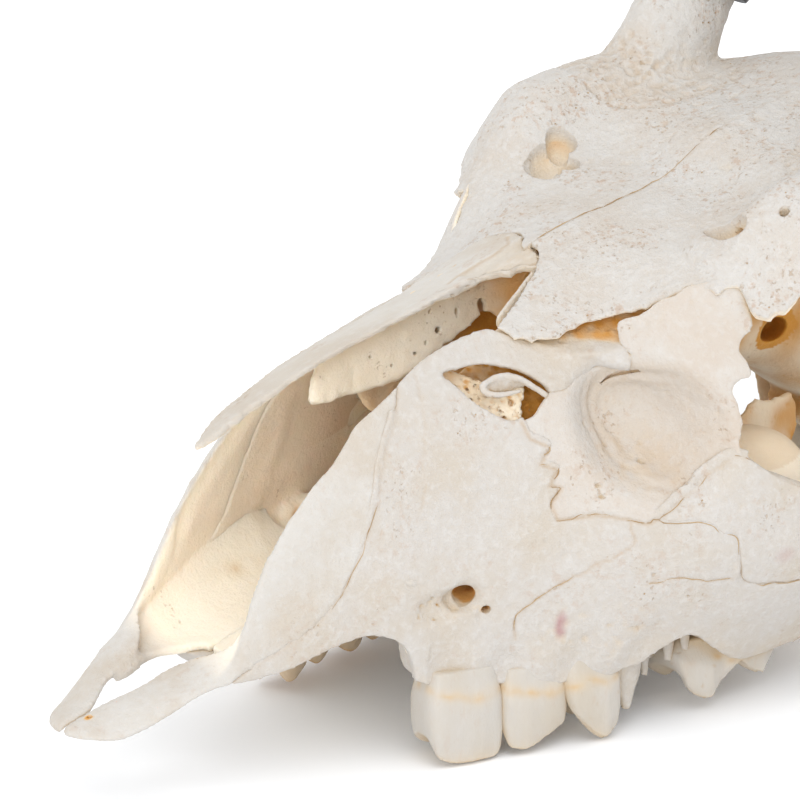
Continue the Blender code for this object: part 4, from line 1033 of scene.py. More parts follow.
def tooth_crown(d, x, half_long, half_wide, lowest, slant, turn, spots, rise, square, side):
    """One crown: the wall ribbed on its outer face, the chewing face in crescents."""
    lobes = len(spots)
    a, c = squared(CROWN_AROUND, CROWN_SQUARE)
    outer = faded(c) ** 0.6
    inner = faded(-c) ** 0.6
    rib = sum(np.exp(-((a - s) / (0.20 / lobes)) ** 2) for s in spots) * 0.07
    one = lobes == 1
    styles = ((-0.95, 0.02), (0.97, 0.03)) if one else ((-0.97, 0.09), (0.0, 0.13), (0.97, 0.08))
    fold = sum(np.exp(-((a - s) / (0.16 / lobes)) ** 2) * h for s, h in styles)
    valley = sum(np.exp(-((a - s) / 0.17) ** 2) for s in ((-0.55, 0.6) if one else (-0.27, 0.24)))
    cheek = outer * (rib * (0.6 if one else 1) + fold - (0.02 if one else 0.05) * valley)
    tongue = inner * (0.30 * np.exp(-(a / 0.16) ** 2) if lobes == 2 else 0)
    top = gum_z(d) + ROOT_IN
    way = np.array([row[0] for row in CROWN_DOWN])
    shape = np.array([row[1:] for row in CROWN_DOWN])
    cos = math.cos(math.radians(turn))
    sin = math.sin(math.radians(turn))

    def edge_z(u, w):
        """Height of the chewing face: an outer crest in cusps, a lower groove, an inner crest."""
        lobe = np.minimum.reduce([np.abs(u - s) for s in spots]) * lobes
        crest = np.exp(-((w - 0.80) / 0.24) ** 2) * 1.9 + np.exp(-((w + 0.6) / 0.30) ** 2) * 1.2
        crest = crest * (1 - 0.3 * faded(lobe) ** 2)
        return lowest + slant * (1 + u) + rise * np.clip(lobe, 0, 1.3) ** square + 1.9 - crest

    rings = []
    for share in np.linspace(0, 1, 15):
        long_share, wide_share, lean = steady(way, shape, share)
        strength = faded(share * 2.2 - 0.3)
        u = a * long_share
        w = c * wide_share + (cheek + tongue) * strength + lean
        bottom = edge_z(a, np.clip(c * 0.85 + 0.05, -1, 1))
        z = top + (bottom - top) * share
        rings.append((u, w, z))
    for shrink in (0.93, 0.84, 0.72, 0.58, 0.42, 0.26, 0.1):
        u = a * 0.95 * shrink
        w = (c * 0.86 + cheek * 0.9 + tongue) * shrink + 0.12
        rings.append((u, w, edge_z(u, w)))
    placed = []
    for u, w, z in rings:
        along = u * half_long
        wide = w * half_wide
        z = z + 0 * along
        placed.append(np.stack([side * (x + cos * wide - sin * along), d + cos * along + sin * wide,
                                z], 1))
    return skin_over(placed)


def enamel_marks(points, normals):
    """Brown at the gum line and in the grooves of the chewing face."""
    d, z = points[:, 1], points[:, 2]
    neck = np.exp(-((z - gum_z(d) + 0.3) / 0.8) ** 2) * (0.5 + 0.6 * uneven(points, 1.1, 61))
    worn = faded(-normals[:, 2] * 1.4 - 0.5) * (z > 1.2)
    # Ochre over all of the right front premolars: partly their own brown, partly painted shade
    # where they lie on the far side.
    old = 0.5 * (points[:, 0] < 0) * (d < 49)
    grime = faded(uneven(points, 0.4, 63) * 3 - 1.7) * np.clip((d - 44) / 8, 0.15, 1)
    ring = np.exp(-((z - gum_z(d) + 0.5) / 0.45) ** 2) * faded(0.6 + uneven(points, 0.8, 65))
    ochre = 0.28 * faded(neck) + 0.30 * worn + old + 0.3 * ring
    return ochre, 0.25 * worn + 0.6 * grime + 0.35 * ring, 0 * d, 0 * d, 0 * d


tooth_enamel = bone_finish("tooth_enamel", ivory=(0.49, 0.46, 0.42), warm=(0.47, 0.42, 0.35),
                           pores=0.0, mottle=0.12, stretch=(1.0, 1.0, 0.4), relief=0.00012)
for socket in ("Coat Weight", "Coat Roughness"):
    tooth_enamel.node_tree.nodes["Principled BSDF"].inputs[socket].default_value = ENAMEL_GLOSS
for side, tag in BOTH_SIDES:
    teeth = CHEEK_TEETH if side > 0 else BROKEN_PREMOLARS + (FIRST_MOLAR,) + CHEEK_TEETH[2:]
    for name, *sizes in teeth:
        crown = grown("%s_%s" % (name, tag), [tooth_crown(*sizes, side)], ENAMEL_GRAIN, 1)
        weathered(crown, 0.03, enamel_marks)
        settled(crown, tooth_enamel, "bone")
stumps = [bar_of_bone(((x, d, top), (x + 0.1, d - 0.1, (top + low) / 2), (x + 0.3, d - 0.2, low)),
                      ((half * 0.7, half * 1.2), (half * 0.6, half * 1.05), (0.35, 0.45)))
          for x, d, top, low, half in STUMPS]
roots = grown("molar_1_stumps_left", stumps, ENAMEL_GRAIN, 1)
weathered(roots, 0.12)
settled(roots, jaw_bone, "bone")


# Right nasal bone.
# A long thin shingle of bone over the nose, its hind end rounded into a finger that locks into the
# forehead. Its fellow on the left is lost, so its middle edge and its underside show.

NASAL_MIDDLE = ((15.2, 0.9), (15.4, 0.4), (16.4, 0.05), (17.6, 0.0), (30.0, 0.0), (44.0, 0.0),
                (47.5, 0.0), (48.7, -0.3), (49.6, -0.2), (50.4, -0.7), (51.3, -1.0), (51.9, -1.7),
                (53.2, -1.8), (54.2, -2.7), (54.8, -3.1), (55.8, -1.9), (56.1, -0.4))
NASAL_SIDE = ((56.1, -0.4), (56.4, 1.1), (56.9, 2.3), (57.5, 4.3), (57.0, 6.5), (55.9, 8.3),
              (54.3, 8.9), (51.0, 8.3), (48.1, 7.6), (44.0, 6.2), (39.0, 5.2), (33.0, 4.7),
              (26.0, 4.3), (21.0, 3.7), (18.0, 2.6), (16.4, 1.5), (15.2, 0.9))
NASAL_THICK = 1.15
NASAL_BED = (48.6, 55.0, 2.2)
NASAL_BED_DEEP = 0.45
NASAL_LINE = ((47.0, 1.6), (48.7, 2.2), (53.6, 2.3), (55.4, 2.6), (56.6, 4.3))


def nasal_marks(points, normals):
    """The rough bed of the nose on its upper end, its seam and its grain, and painted underside.

    The underside gets painted shade and the lighter painted inner colour.
    """
    x, d = np.abs(points[:, 0]), points[:, 1]
    above = normals[:, 2] > 0.2
    bed = faded((d - NASAL_BED[0]) / 0.6) * faded((points[:, 0] + NASAL_BED[2]) / 0.3)
    bed = bed * above
    seam = line_mask(d, x, NASAL_LINE, 0.3) * above
    # Painted shade and painted light: faces turned down get ochre and the lighter inner colour.
    under = faded(-normals[:, 2])
    grain = bed * (0.5 * uneven(points * (1, 0.5, 1), 0.6, 81))
    height = -NASAL_BED_DEEP * bed + 0.18 * grain - 0.1 * seam
    streak = 0.25 * faded(uneven(points * (1, 0.14, 1), 1.1, 83))
    return 0.30 * under + 0.12 * bed + 0.10 * streak, 0.6 * seam, 0 * x, under, height


nasal_bone = bone_finish("nasal_bone", ivory=(0.55, 0.525, 0.485), pores=0.55, mottle=0.4,
                         stretch=(1.0, 0.45, 1.0))
edge = closed_line(ragged(NASAL_MIDDLE, 0.07, 21, 0.45), rounded(NASAL_SIDE))
shingle = sheet_of_bone(edge, roof_form, thinned(NASAL_MIDDLE[:6], NASAL_THICK, 0.7), False, -1)
piece = grown("nasal_right_bone", [shingle])
weathered(piece, BONE_LUMP, nasal_marks)
settled(piece, nasal_bone, "bone", "nasal_right")


# Turbinate and sinus walls.
# Paper-thin bone inside the face, pierced with holes. A scroll hangs under the right nasal, and on
# each side a pitted wall with a curled tongue in front closes the sinus behind the gap in the face.

SCROLL_TOP = ((30.4, 33.9), (31.2, 35.8), (32.6, 37.4), (34.4, 38.5), (39.0, 39.8), (45.0, 41.2),
              (50.0, 42.4), (55.0, 43.5), (59.0, 44.0), (60.4, 40.0), (59.6, 34.0))
SCROLL_LOW = ((59.6, 34.0), (56.4, 34.0), (55.0, 36.4), (53.4, 37.8), (51.4, 36.9), (49.4, 36.1),
              (46.3, 35.3), (44.0, 34.5), (41.9, 34.0), (39.0, 33.6), (36.3, 33.8), (33.0, 33.4),
              (30.4, 33.9))
SCROLL_THICK = 0.75
# The scroll turns across the nose at its hind end: from this D, and by so much.
SCROLL_TURN = (51.5, 0.14)
SCROLL_HOLES = ((46.3, 39.2, 0.20, 0.2), (49.6, 38.5, 0.30, 0.5), (47.0, 37.2, 0.42, 0.35),
                (52.6, 38.4, 0.45, 0.9), (40.6, 35.2, 0.16, 0.16), (43.6, 35.7, 0.18, 0.18),
                (38.4, 36.4, 0.14, 0.14), (45.2, 36.4, 0.16, 0.2))
SCROLL_LIP = ((-2.7, 31.0, 33.7), (-2.5, 36.0, 33.8), (-2.5, 41.0, 34.0), (-2.9, 46.0, 35.3))
BACK_SCROLL = ((38.0, 33.2), (44.0, 34.4), (50.0, 37.0), (57.0, 39.0), (58.0, 33.0), (50.0, 29.0),
               (42.0, 29.0))

BACK_SCROLL_X = 6.0


def scroll_form(d, z):
    """The sheet hangs under the nasal, leans in as it goes down, and turns across behind."""
    d_turn, turn = SCROLL_TURN
    return (4.6 - 0.30 * (40.0 - z) + 0.25 * np.sin(d * 0.55) * faded((39.0 - z) / 5)
            - turn * np.clip(d - d_turn, 0, None) ** 2)


def scroll_marks(points, normals):
    """Paler in front, with painted golden shade under the nasal and deep ochre painted shade
    behind.

    The deep ochre lies where the sheet turns across and on the back scroll low down; all of it gets
    the lighter painted inner colour.
    """
    x, d, z = points.T
    rough = uneven(points, 0.9, 101)
    # Painted shade: golden ochre near the top under the nasal, deep ochre where the sheet turns
    # across and on the back scroll below Z 37.
    top = faded((z - roof_form(d, x) + 3.4) / 2.4)
    behind = faded((d - 49.5) / 6)
    ochre = 0.05 + 0.42 * top + 0.75 * behind + 0.06 * rough + 0.5 * (x < -4.9) * (z < 37)
    return ochre, 0 * d, 0 * d, 0.9 - 0.3 * behind, 0.10 * rough


# Painted light: thin bone is given a lighter ivory than the other bones, standing in for light
# through it.
thin_bone = bone_finish("thin_bone", ivory=(0.64, 0.59, 0.52), warm=(0.62, 0.53, 0.42), pores=0.6,
                        mottle=0.3)
edge = closed_line(rounded(SCROLL_TOP), ragged(SCROLL_LOW, 0.16, 23, 0.5))
sheet = grown("turbinate_right_bone",
              [sheet_of_bone(edge, scroll_form, SCROLL_THICK, True, -1),
               sheet_of_bone(ring_of(BACK_SCROLL), lambda d, z: BACK_SCROLL_X + 0 * d, SCROLL_THICK,
                             True, -1),
               bar_of_bone(SCROLL_LIP, ((0.35, 0.45),) * 4)])
bored(sheet, [bar_of_bone(((-7.0, d, z), (0.5, d, z + 0.2)), ((long, tall),) * 2, 1, 14)
              for d, z, long, tall in SCROLL_HOLES])
weathered(sheet, 0.08, scroll_marks)
settled(sheet, thin_bone, "thin_bone", "turbinate_right")

TONGUE = ((11.6, 45.4, 35.7), (11.1, 43.6, 35.6), (10.5, 42.1, 35.9), (10.1, 41.8, 36.5),
          (10.1, 42.9, 37.0), (10.3, 44.3, 37.2), (11.0, 45.6, 36.8), (11.8, 46.8, 35.9),
          (12.7, 47.9, 34.9))
TONGUE_HALF = (0.2, 0.28, 0.32, 0.32, 0.32, 0.32, 0.32, 0.32, 0.3)
TONGUE_WEB = ((42.0, 36.2), (43.0, 36.9), (44.4, 37.1), (45.6, 36.7), (46.6, 35.9), (45.4, 35.7),
              (43.6, 35.6))
PITTED = ((38.9, 38.0), (40.0, 36.2), (41.2, 34.6), (43.0, 33.0), (44.8, 32.6), (45.2, 34.0),
          (45.0, 35.4), (43.2, 36.2), (41.0, 37.4))
PITTED_BACK = (1.1, 2.3)
LAMELLA = ((9.9, 46.2, 36.6), (10.6, 45.8, 35.0), (11.4, 45.2, 33.2))
LAMELLA_HALF = ((0.9, 0.25), (0.8, 0.22), (0.6, 0.2))
SINUS_WALL = ((41.0, 34.5), (42.5, 36.4), (46.0, 37.4), (50.0, 37.0), (54.0, 35.0), (54.0, 31.0),
              (49.0, 29.6), (44.0, 30.0))
SINUS_BACK = 4.6
PIT_COUNT = 26
PIT_SEED = 37


def sinus_form(d, z):
    """The back wall of the sinus, clear of the tear bone."""
    return np.minimum(plain_side(d, z) - SINUS_BACK, side_form(d, z) - 1.9)


def pitted_form(d, z):
    """The pitted wall, leaning in as it goes up."""
    return plain_side(d, z) - PITTED_BACK[0] - PITTED_BACK[1] * faded((z - 33.5) / 4.5)


def sinus_marks(points, normals):
    """Ochre all through, with painted shade darkest deep in and behind, and darker pores.

    The lighter painted inner colour fades the deeper the wall lies.
    """
    x, d, z = points.T
    x = np.abs(x)
    # Painted shade: darker ochre the deeper the wall lies behind the face, more so towards the
    # back.
    deep = faded((plain_side(d, z) - x - 1.2) / 2.6)
    rough = uneven(points, 0.5, 105)
    behind = faded((d - 45.0) / 2.5)
    pores = faded(uneven(points, 0.45, 107) * 2.4 - 0.5)
    ochre = 0.30 + 0.36 * deep + 0.3 * behind * deep + 0.12 * rough + 0.3 * pores
    return ochre, 0 * d, 0 * d, 0.7 - 0.3 * deep, 0.10 * rough - 0.2 * pores


def tongue_marks(points, normals):
    """Pale, a little uneven bone."""
    rough = uneven(points, 0.6, 107)
    return 0.05 + 0.08 * rough, 0 * rough, 0 * rough, 0 * rough, 0.05 * rough


for side, tag in BOTH_SIDES:
    pitted = sheet_of_bone(ring_of(PITTED), pitted_form, 0.9, True, side, 0.6)
    back = sheet_of_bone(ring_of(SINUS_WALL), sinus_form, 0.8, True, side)
    wall = grown("sinus_wall_" + tag, [pitted, back, bar_of_bone(LAMELLA, LAMELLA_HALF, side)])
    rng = np.random.default_rng(PIT_SEED)
    pits = []
    for d, z in zip(rng.uniform(40.2, 44.9, PIT_COUNT), rng.uniform(32.9, 36.6, PIT_COUNT)):
        x = float(pitted_form(d, z))
        r = rng.uniform(0.10, 0.24)
        pits.append(bar_of_bone(((x + 0.6, d, z), (x - 0.7, d, z + 0.1)),
                                ((r, r * 1.1), (r * 0.8, r * 0.8)), side, 10))
    bored(wall, pits)
    weathered(wall, 0.06, sinus_marks)
    settled(wall, thin_bone, "thin_bone")
    web = sheet_of_bone(ring_of(TONGUE_WEB), lambda d, z: 10.2 + 0.25 * (d - 43.0), 0.5, True,
                        side, 0.6)
    tongue = grown("sinus_tongue_" + tag, [bar_of_bone(TONGUE, TONGUE_HALF, side, 14), web],
                   GRAIN_OF_MESH * 0.8, 1)
    weathered(tongue, 0.05, tongue_marks)
    settled(tongue, jaw_bone, "thin_bone")


# Lacrimals.
# The tear bones in front of the eyes, each hollowed into a smooth cup for the face gland. Thin
# bone, locked to the jaw by a jagged seam, with a thin broken rim towards the eye.

TEAR_GAP_SIDE = ((44.3, 33.2), (44.9, 33.2), (46.0, 33.6), (47.1, 34.5), (48.3, 35.3))
TEAR_CHEEK_SEAM = ((54.4, 23.4), (56.9, 24.9), (58.6, 25.6), (61.1, 27.8), (62.2, 28.8),
                   (63.4, 28.4))
TEAR_CHEEK_STEPS = (0.1, 17, 0.55)
TEAR_RIM = ((63.4, 28.4), (63.0, 30.2), (62.8, 33.1), (63.2, 35.6), (64.2, 36.3), (64.4, 37.2),
            (64.0, 38.6), (64.4, 39.8), (65.2, 40.6), (65.7, 42.1), (65.8, 43.8), (65.3, 44.8),
            (64.2, 45.0))
TEAR_TOP = ((64.2, 45.0), (63.3, 45.0), (61.3, 44.3), (58.9, 42.8), (57.0, 41.2), (55.9, 39.4),
            (56.8, 37.6))
TEAR_SLIT = ((55.0, 34.5), (55.5, 35.2), (56.2, 35.8), (57.2, 36.2))
TEAR_SLIT_HALF = (0.8, 0.20)
TEAR_SLIT_END = (0.7, 0.12)
TEAR_PITS = ((49.9, 26.8), (49.9, 25.8), (56.0, 27.7), (53.4, 29.4), (51.6, 31.6))
TEAR_THICK = 1.15


def tear_thick(d, z):
    """Thin at the broken rim of the eye socket and along the top."""
    thin = np.maximum(line_mask(d, z, TEAR_RIM, 2.4), line_mask(d, z, TEAR_TOP[:-1], 1.8))
    thin = np.maximum(thin, line_mask(d, z, TEAR_GAP_SIDE, 1.2))
    return TEAR_THICK - (TEAR_THICK - EDGE_THIN) * thin


def tear_marks(points, normals):
    """Faint vessel rings in the cup, its slit and pin holes, and the jagged seam in front.

    Painted shade lies in the cup, in the slit and on the inner face behind.
    """
    x, d, z = points.T
    x = np.abs(x)
    outside = faded((x - side_form(d, z) + 0.5) / 0.3)
    r = np.hypot((d - 57.4) / 6.0, (z - 31.0) / 7.0)
    cup = faded(1 - (r - 0.75) / 0.3)
    ring = np.sin(r * 24 + 2.6 * uneven(points, 2.4, 111)) * faded(r * 2)
    wave = cup * outside * ring * faded(uneven(points, 3.0, 113) + 0.5)
    grain = cup * faded(uneven(points, 0.5, 115) * 2.0 - 0.8)
    face = side_form(d, z)
    slit = line_mask(d, z, rounded(TEAR_SLIT, 0.3), 0.7) * (x < face - 0.12) * (x > face - 1.1)
    pits = sum(dent(d, z, p, (0.34, 0.28), 1.0, 0.4) for p in TEAR_PITS) * outside
    seams = 0.75 * line_mask(d, z, TEAR_SEAM, 0.30) * outside
    seams = np.maximum(seams, 0.4 * line_mask(d, z, TEAR_CHEEK_SEAM, 0.25) * outside)
    # Painted shade: ochre on the inner face towards the back.
    behind = faded((d - 57.0) / 4.0) * (1 - outside)
    pitted = faded((z - 38.6) / 2.0) * faded(uneven(points, 0.5, 117) * 2.2 - 0.9) * outside
    height = 0.15 * wave - 0.14 * grain - 0.1 * slit - 0.5 * pits - 0.05 * seams - 0.12 * pitted
    # Painted shade: ochre in the upper front of the cup.
    upper = cup * faded((z - 32.0) / 5.0) * faded((60.0 - d) / 4.0) * outside
    low_cup = np.exp(-((d - 55.0) / 4.0) ** 2 - ((z - 28.0) / 2.6) ** 2)
    low_cup = low_cup * faded(uneven(points, 0.9, 119) + 0.6)
    ochre = (0.03 * cup * outside + 0.14 * upper + 0.12 * grain + 0.45 * behind + 0.35 * pits
             + 0.1 * pitted + 0.2 * low_cup)
    # Painted shade in the cup, mixed with the vessel rings and the brownish patch low in the cup.
    shade = (cup * outside * (0.10 + 0.10 * faded((z - 32.0) / 5.0)) + 0.10 * faded(wave)
             + 0.15 * low_cup)
    line = 0.6 * seams + 0.6 * slit + shade
    # Painted shade: the slit's walls are coloured ochre and lined; the inner face gets the lighter
    # painted colour.
    return ochre + 0.5 * slit, line, 0 * x, (1 - outside) * (1 - slit), height


tear_bone = bone_finish("tear_bone", ivory=(0.54, 0.505, 0.465), warm=(0.52, 0.46, 0.40), pores=0.4,
                        mottle=0.35)
for side, tag in BOTH_SIDES:
    edge = closed_line(ragged(TEAR_SEAM, *TEAR_STEPS)[::-1], rounded(TEAR_GAP_SIDE),
                       ragged(TEAR_TOP_SEAM, *TEAR_TOP_STEPS)[::-1],
                       ragged(TEAR_TOP, 0.14, 15, 0.45)[::-1],
                       ragged(TEAR_RIM, 0.34, 16, 0.5)[::-1],
                       ragged(TEAR_CHEEK_SEAM, *TEAR_CHEEK_STEPS)[::-1])
    sheet = sheet_of_bone(edge, side_form, tear_thick, True, side)
    piece = grown("lacrimal_%s_bone" % tag, [sheet])
    slit = [(float(side_form(d, z)) - 0.1, d, z) for d, z in TEAR_SLIT]
    halves = (TEAR_SLIT_END,) + (TEAR_SLIT_HALF,) * (len(slit) - 2) + (TEAR_SLIT_END,)
    bored(piece, [bar_of_bone(slit, halves, side, 12)])
    weathered(piece, BONE_LUMP, tear_marks)
    settled(piece, tear_bone, "bone", "lacrimal_" + tag)


# Zygomatics.
# The cheek bones: the lower rim of the eye socket, a rounded bar of dense bone that is joined to
# the jaw by a seam, meets the arch in front of the ear and sends a branch up behind the eye.

SOCKET_RIM = ((63.4, 28.4), (65.6, 26.6), (69.0, 24.4), (74.0, 22.4), (80.0, 21.6), (86.0, 22.4),
              (90.6, 25.0), (93.6, 29.0), (95.0, 33.6))
CHEEK_BAR = ((98.6, 33.6), (97.8, 28.0), (98.6, 24.2), (105.0, 22.4), (105.0, 18.6), (96.0, 17.4),
             (88.0, 15.6), (80.0, 13.0))
CHEEK_THICK = 2.0
RIM_ROLL = 1.15


def cheek_marks(points, normals):
    """The seam to the jaw, a pink stain, fine pores under the rim, and the painted inner face.

    The inner face gets painted shade and the lighter painted inner colour.
    """
    x, d, z = points.T
    x = np.abs(x)
    outside = faded((x - side_form(d, z) + 0.7) / 0.4)
    seams = 0.7 * line_mask(d, z, CHEEK_SEAM, 0.28) * outside
    seams = np.maximum(seams, 0.4 * line_mask(d, z, TEAR_CHEEK_SEAM, 0.25) * outside)
    pink = 0.35 * dent(d, z, (67.0, 18.0), (1.6, 1.3), 1.0, 0.1) * outside
    pores = faded(uneven(points, 0.6, 121) * 1.8 - 0.8) * outside
    # Painted shade and painted light: ochre and the lighter inner colour on the inner face.
    behind = faded((side_form(d, z) - x - 1.2) / 0.5)
    height = -0.04 * seams - 0.10 * pores
    return 0.10 * pores + 0.30 * behind, 0.5 * seams, pink, 0.6 * behind, height


cheek_bone = bone_finish("cheek_bone", pores=0.5, mottle=0.5)
for side, tag in BOTH_SIDES:
    edge = closed_line(ragged(TEAR_CHEEK_SEAM, *TEAR_CHEEK_STEPS), rounded(SOCKET_RIM, 0.8),
                       rounded(CHEEK_BAR, 1.0), ragged(CHEEK_SEAM, *CHEEK_STEPS)[::-1])
    rim = [(float(side_form(d, z)) - 0.9, d, z - 0.55) for d, z in SOCKET_RIM[1:-1]]
    piece = grown("zygomatic_%s_bone" % tag,
                  [sheet_of_bone(edge, side_form, CHEEK_THICK, True, side),
                   seam_bed(TEAR_CHEEK_SEAM, side),
                   bar_of_bone(rim, (0.7,) + (RIM_ROLL,) * 5 + (0.9,), side)])
    weathered(piece, BONE_LUMP, cheek_marks)
    settled(piece, cheek_bone, "bone", "zygomatic_" + tag)


# Frontals and horn cores.
# The forehead: two plates met along the middle, each arched over an eye, pierced by a brow hole and
# grown up into a horn core of porous, striped bone, with a bar down behind the eye.

LEFT_FRONT = ((56.0, 0.0), (55.9, 1.1), (55.5, 2.0), (54.4, 3.1), (53.1, 4.0), (51.1, 5.0),
              (48.3, 6.1), (46.8, 6.7), (46.0, 7.0))
RIGHT_FRONT = ((55.0, 0.0), (55.7, 1.1), (57.0, 2.2), (57.7, 4.3), (57.2, 6.6), (56.0, 8.5),
               (54.3, 9.1), (51.0, 8.5), (48.0, 8.0), (46.0, 7.0))
RIGHT_BROW_EDGE = ((46.0, 7.0), (47.2, 8.6), (49.6, 10.6), (52.0, 12.1), (54.8, 13.7),
                   (56.9, 15.0), (58.5, 15.9), (59.9, 16.7), (61.3, 17.3), (62.3, 18.2),
                   (62.6, 19.2), (63.4, 20.4), (64.6, 22.2), (66.2, 23.8), (68.8, 25.9))
LEFT_BROW_EDGE = ((46.0, 7.0), (47.3, 8.8), (48.6, 9.5), (50.0, 10.5), (51.7, 10.8), (54.1, 11.3),
             (56.7, 12.5), (58.3, 13.8), (59.6, 15.2), (61.6, 16.8), (62.9, 18.9), (63.9, 20.1),
             (64.9, 21.5), (64.7, 22.5), (64.9, 23.3), (65.8, 24.3), (67.0, 25.2), (68.8, 25.9))
BROW_RIM = ((68.8, 25.9), (72.0, 26.2), (78.0, 26.8), (85.0, 27.1), (91.0, 26.6), (95.0, 27.8),
            (98.6, 27.8))
FOREHEAD_HIND = ((98.6, 27.8), (99.4, 22.0), (99.8, 12.0), (99.8, 0.0))
MIDDLE_SEAM = ((99.8, 0.0), (80.0, 0.0), (57.0, 0.0))
INNER_PLATE = ((2.0, 55.6), (3.2, 52.8), (4.2, 50.2), (5.2, 47.8))
INNER_PLATE_UNDER = 1.75
HORN_START_Z = 50.0
HORN_BACK_TILT = 33.0
HORN_TIP_TILT = 8.0
HORN_OUT_TILT = 2.0
HORN_LEVEL_FOOT = 8.0
SHEATH_RIM = 12.0
SHEATH_LENGTH = 82.0
SOCKET_DEEP = 4.0
CORE_RADII = ((-0.5, 7.9), (1.5, 7.0), (3.5, 5.8), (6.0, 5.0), (9.0, 4.65), (12.0, 4.55),
              (15.7, 4.45))
POST_BAR = ((26.2, 95.6, 43.4), (27.0, 96.2, 40.0), (27.4, 96.6, 37.0), (27.3, 96.8, 34.1))
POST_BAR_HALF = ((2.0, 3.0), (1.5, 2.4), (1.2, 2.1), (1.1, 1.9))
# The brow holes as (X, D, half across, half along), and the right one's lobes with their depths.
BROW_HOLES = {1: (15.4, 68.1, 3.3, 1.35), -1: (12.7, 68.9, 2.0, 2.3)}
BROW_LOBES = ((13.4, 71.0, 1.8, 1.5, 2.9), (10.6, 69.4, 1.6, 1.2, 2.7), (11.8, 67.3, 2.6, 1.5, 1.7))
BROW_FLOOR = 2.9
SMALL_BROW_HOLE = (21.3, 70.2, 0.55)
CORE_STRIPE = (1.0, 1.0, 0.10)


def horn_axis(t, side):
    """Point on the horn's axis t along it, with the directions across and up the section."""
    steps = 24
    share = min(max(t, 0) / (SHEATH_RIM + SHEATH_LENGTH), 1) * (np.arange(steps) + 0.5) / steps
    tilt = np.radians(HORN_BACK_TILT + (HORN_TIP_TILT - HORN_BACK_TILT) * share)
    out = math.radians(HORN_OUT_TILT)
    ways = np.stack([np.full(steps, math.sin(out)), np.sin(tilt) * math.cos(out),
                     np.cos(tilt) * math.cos(out)], 1)
    x, d, z = np.array((HORN_X, HORN_D, HORN_START_Z)) + ways.sum(0) * t / steps
    along = Vector(ways[-1] * (side, 1, 1))
    across = Vector((side, 0, 0)) - along * (along.x * side)
    across.normalize()
    return (x * side, d, z), across, along.cross(across)


def horn_ring(t, radius, side, count=64):
    """One section of the horn, flat where it meets the forehead."""
    centre, across, rise = horn_axis(t, side)
    level = Vector((0, math.copysign(1, rise.y), 0))
    rise = level.lerp(rise, min(max(t / HORN_LEVEL_FOOT, 0), 1)).normalized()
    turn = np.linspace(0, 2 * np.pi, count, endpoint=False)
    return (np.array(centre) + np.outer(np.cos(turn) * radius * 0.95, across)
            + np.outer(np.sin(turn) * radius * 1.05, rise))


def forehead_thick(d, x):
    """Thin in front, and thinner still along the broken edges over the nose and the sinus."""
    full = 1.05 + 1.05 * faded((d - 47.0) / 14.0)
    edge = np.maximum(line_mask(d, x, LEFT_FRONT[1:] + LEFT_BROW_EDGE[:12], 2.6),
                      line_mask(d, x, RIGHT_BROW_EDGE[:10], 1.8))
    return full - (full - EDGE_THIN) * edge


def forehead_marks(points, normals):
    """Clustered pores, the lengthwise grain of the plate and the stripes of the horn core.

    Painted shade lies on undersides, in the brow holes and on the sunken plate in front.
    """
    x, d, z = points.T
    above = normals[:, 2] > 0.1
    core = faded((z - roof_form(d, x) - 1.2) / 2.5) * (np.hypot(np.abs(x) - 18.2, d - 88) < 16)
    foot = (np.exp(-((z - roof_form(d, x) - 0.9) / 1.5) ** 2)
            * (np.hypot(np.abs(x) - 18.2, d - 87) < 10.5))
    foot = foot * np.clip((88.0 - d + 0.6 * (18.0 - np.abs(x))) / 5.0, 0.25, 1)
    stripe = uneven(points * CORE_STRIPE, 0.55, 131) + 0.6 * uneven(points * CORE_STRIPE, 0.28, 132)
    crinkle = np.abs(uneven(points, 0.8, 133)) + 0.7 * np.abs(uneven(points, 0.4, 134))
    away = np.hypot(np.abs(x) - 16.0, d - 86.0)
    near_horn = np.exp(-(away / 13.0) ** 2) * above * (1 - core)
    many = faded(uneven(points * (1, 0.6, 1), 5.0, 135) + 0.15 + near_horn)
    pores = faded(uneven(points * (1.0, 0.55, 1.0), 0.55, 136) * 2.2 - 0.9) * many * above
    grain = uneven(points * (1.0, 0.22, 1.0), 0.8, 137) * above
    # Painted shade: faces turned down get ochre.
    under = faded(-normals[:, 2] - 0.1) * (1 - core)
    bent = x + 0.12 * np.sin(d * 1.7) + 0.1 * np.sin(d * 4.1)
    seam = 0.35 * line_mask(d, bent, MIDDLE_SEAM, 0.26) * above
    sunk = faded((roof_form(d, x) - z - 0.6) / 1.2)
    height = (0.10 * stripe * core - 0.40 * crinkle * foot - 0.16 * pores
              + 0.035 * grain * (1 - core) - 0.05 * seam)
    hole = sum(np.hypot((x - side * at[0]) / (at[2] + 1.4), (d - at[1]) / (at[3] + 3.0)) < 1
               for side, at in BROW_HOLES.items())
    # Painted shade on the sunken edges of the brow holes; undersides and sunken faces get the
    # lighter painted inner colour.
    rim = sunk * hole * faded(1.2 - 1.6 * normals[:, 2])
    inner = np.maximum(under, sunk * (1 - 0.75 * hole)) * (1 - core)
    plate = sunk * (d < 57) * (x > 1)
    # Ochre from painted shade (undersides, brow holes, rims, sunken plate) and from pores and the
    # horn foot's crinkle.
    ochre = (0.42 * under + 0.14 * pores + 0.10 * foot * crinkle + 0.20 * sunk * hole * above
             + 0.45 * rim + 0.3 * plate)
    line = 0.45 * seam + 0.32 * foot * faded(crinkle * 2 - 0.7)
    return ochre, line, 0 * x, inner, height


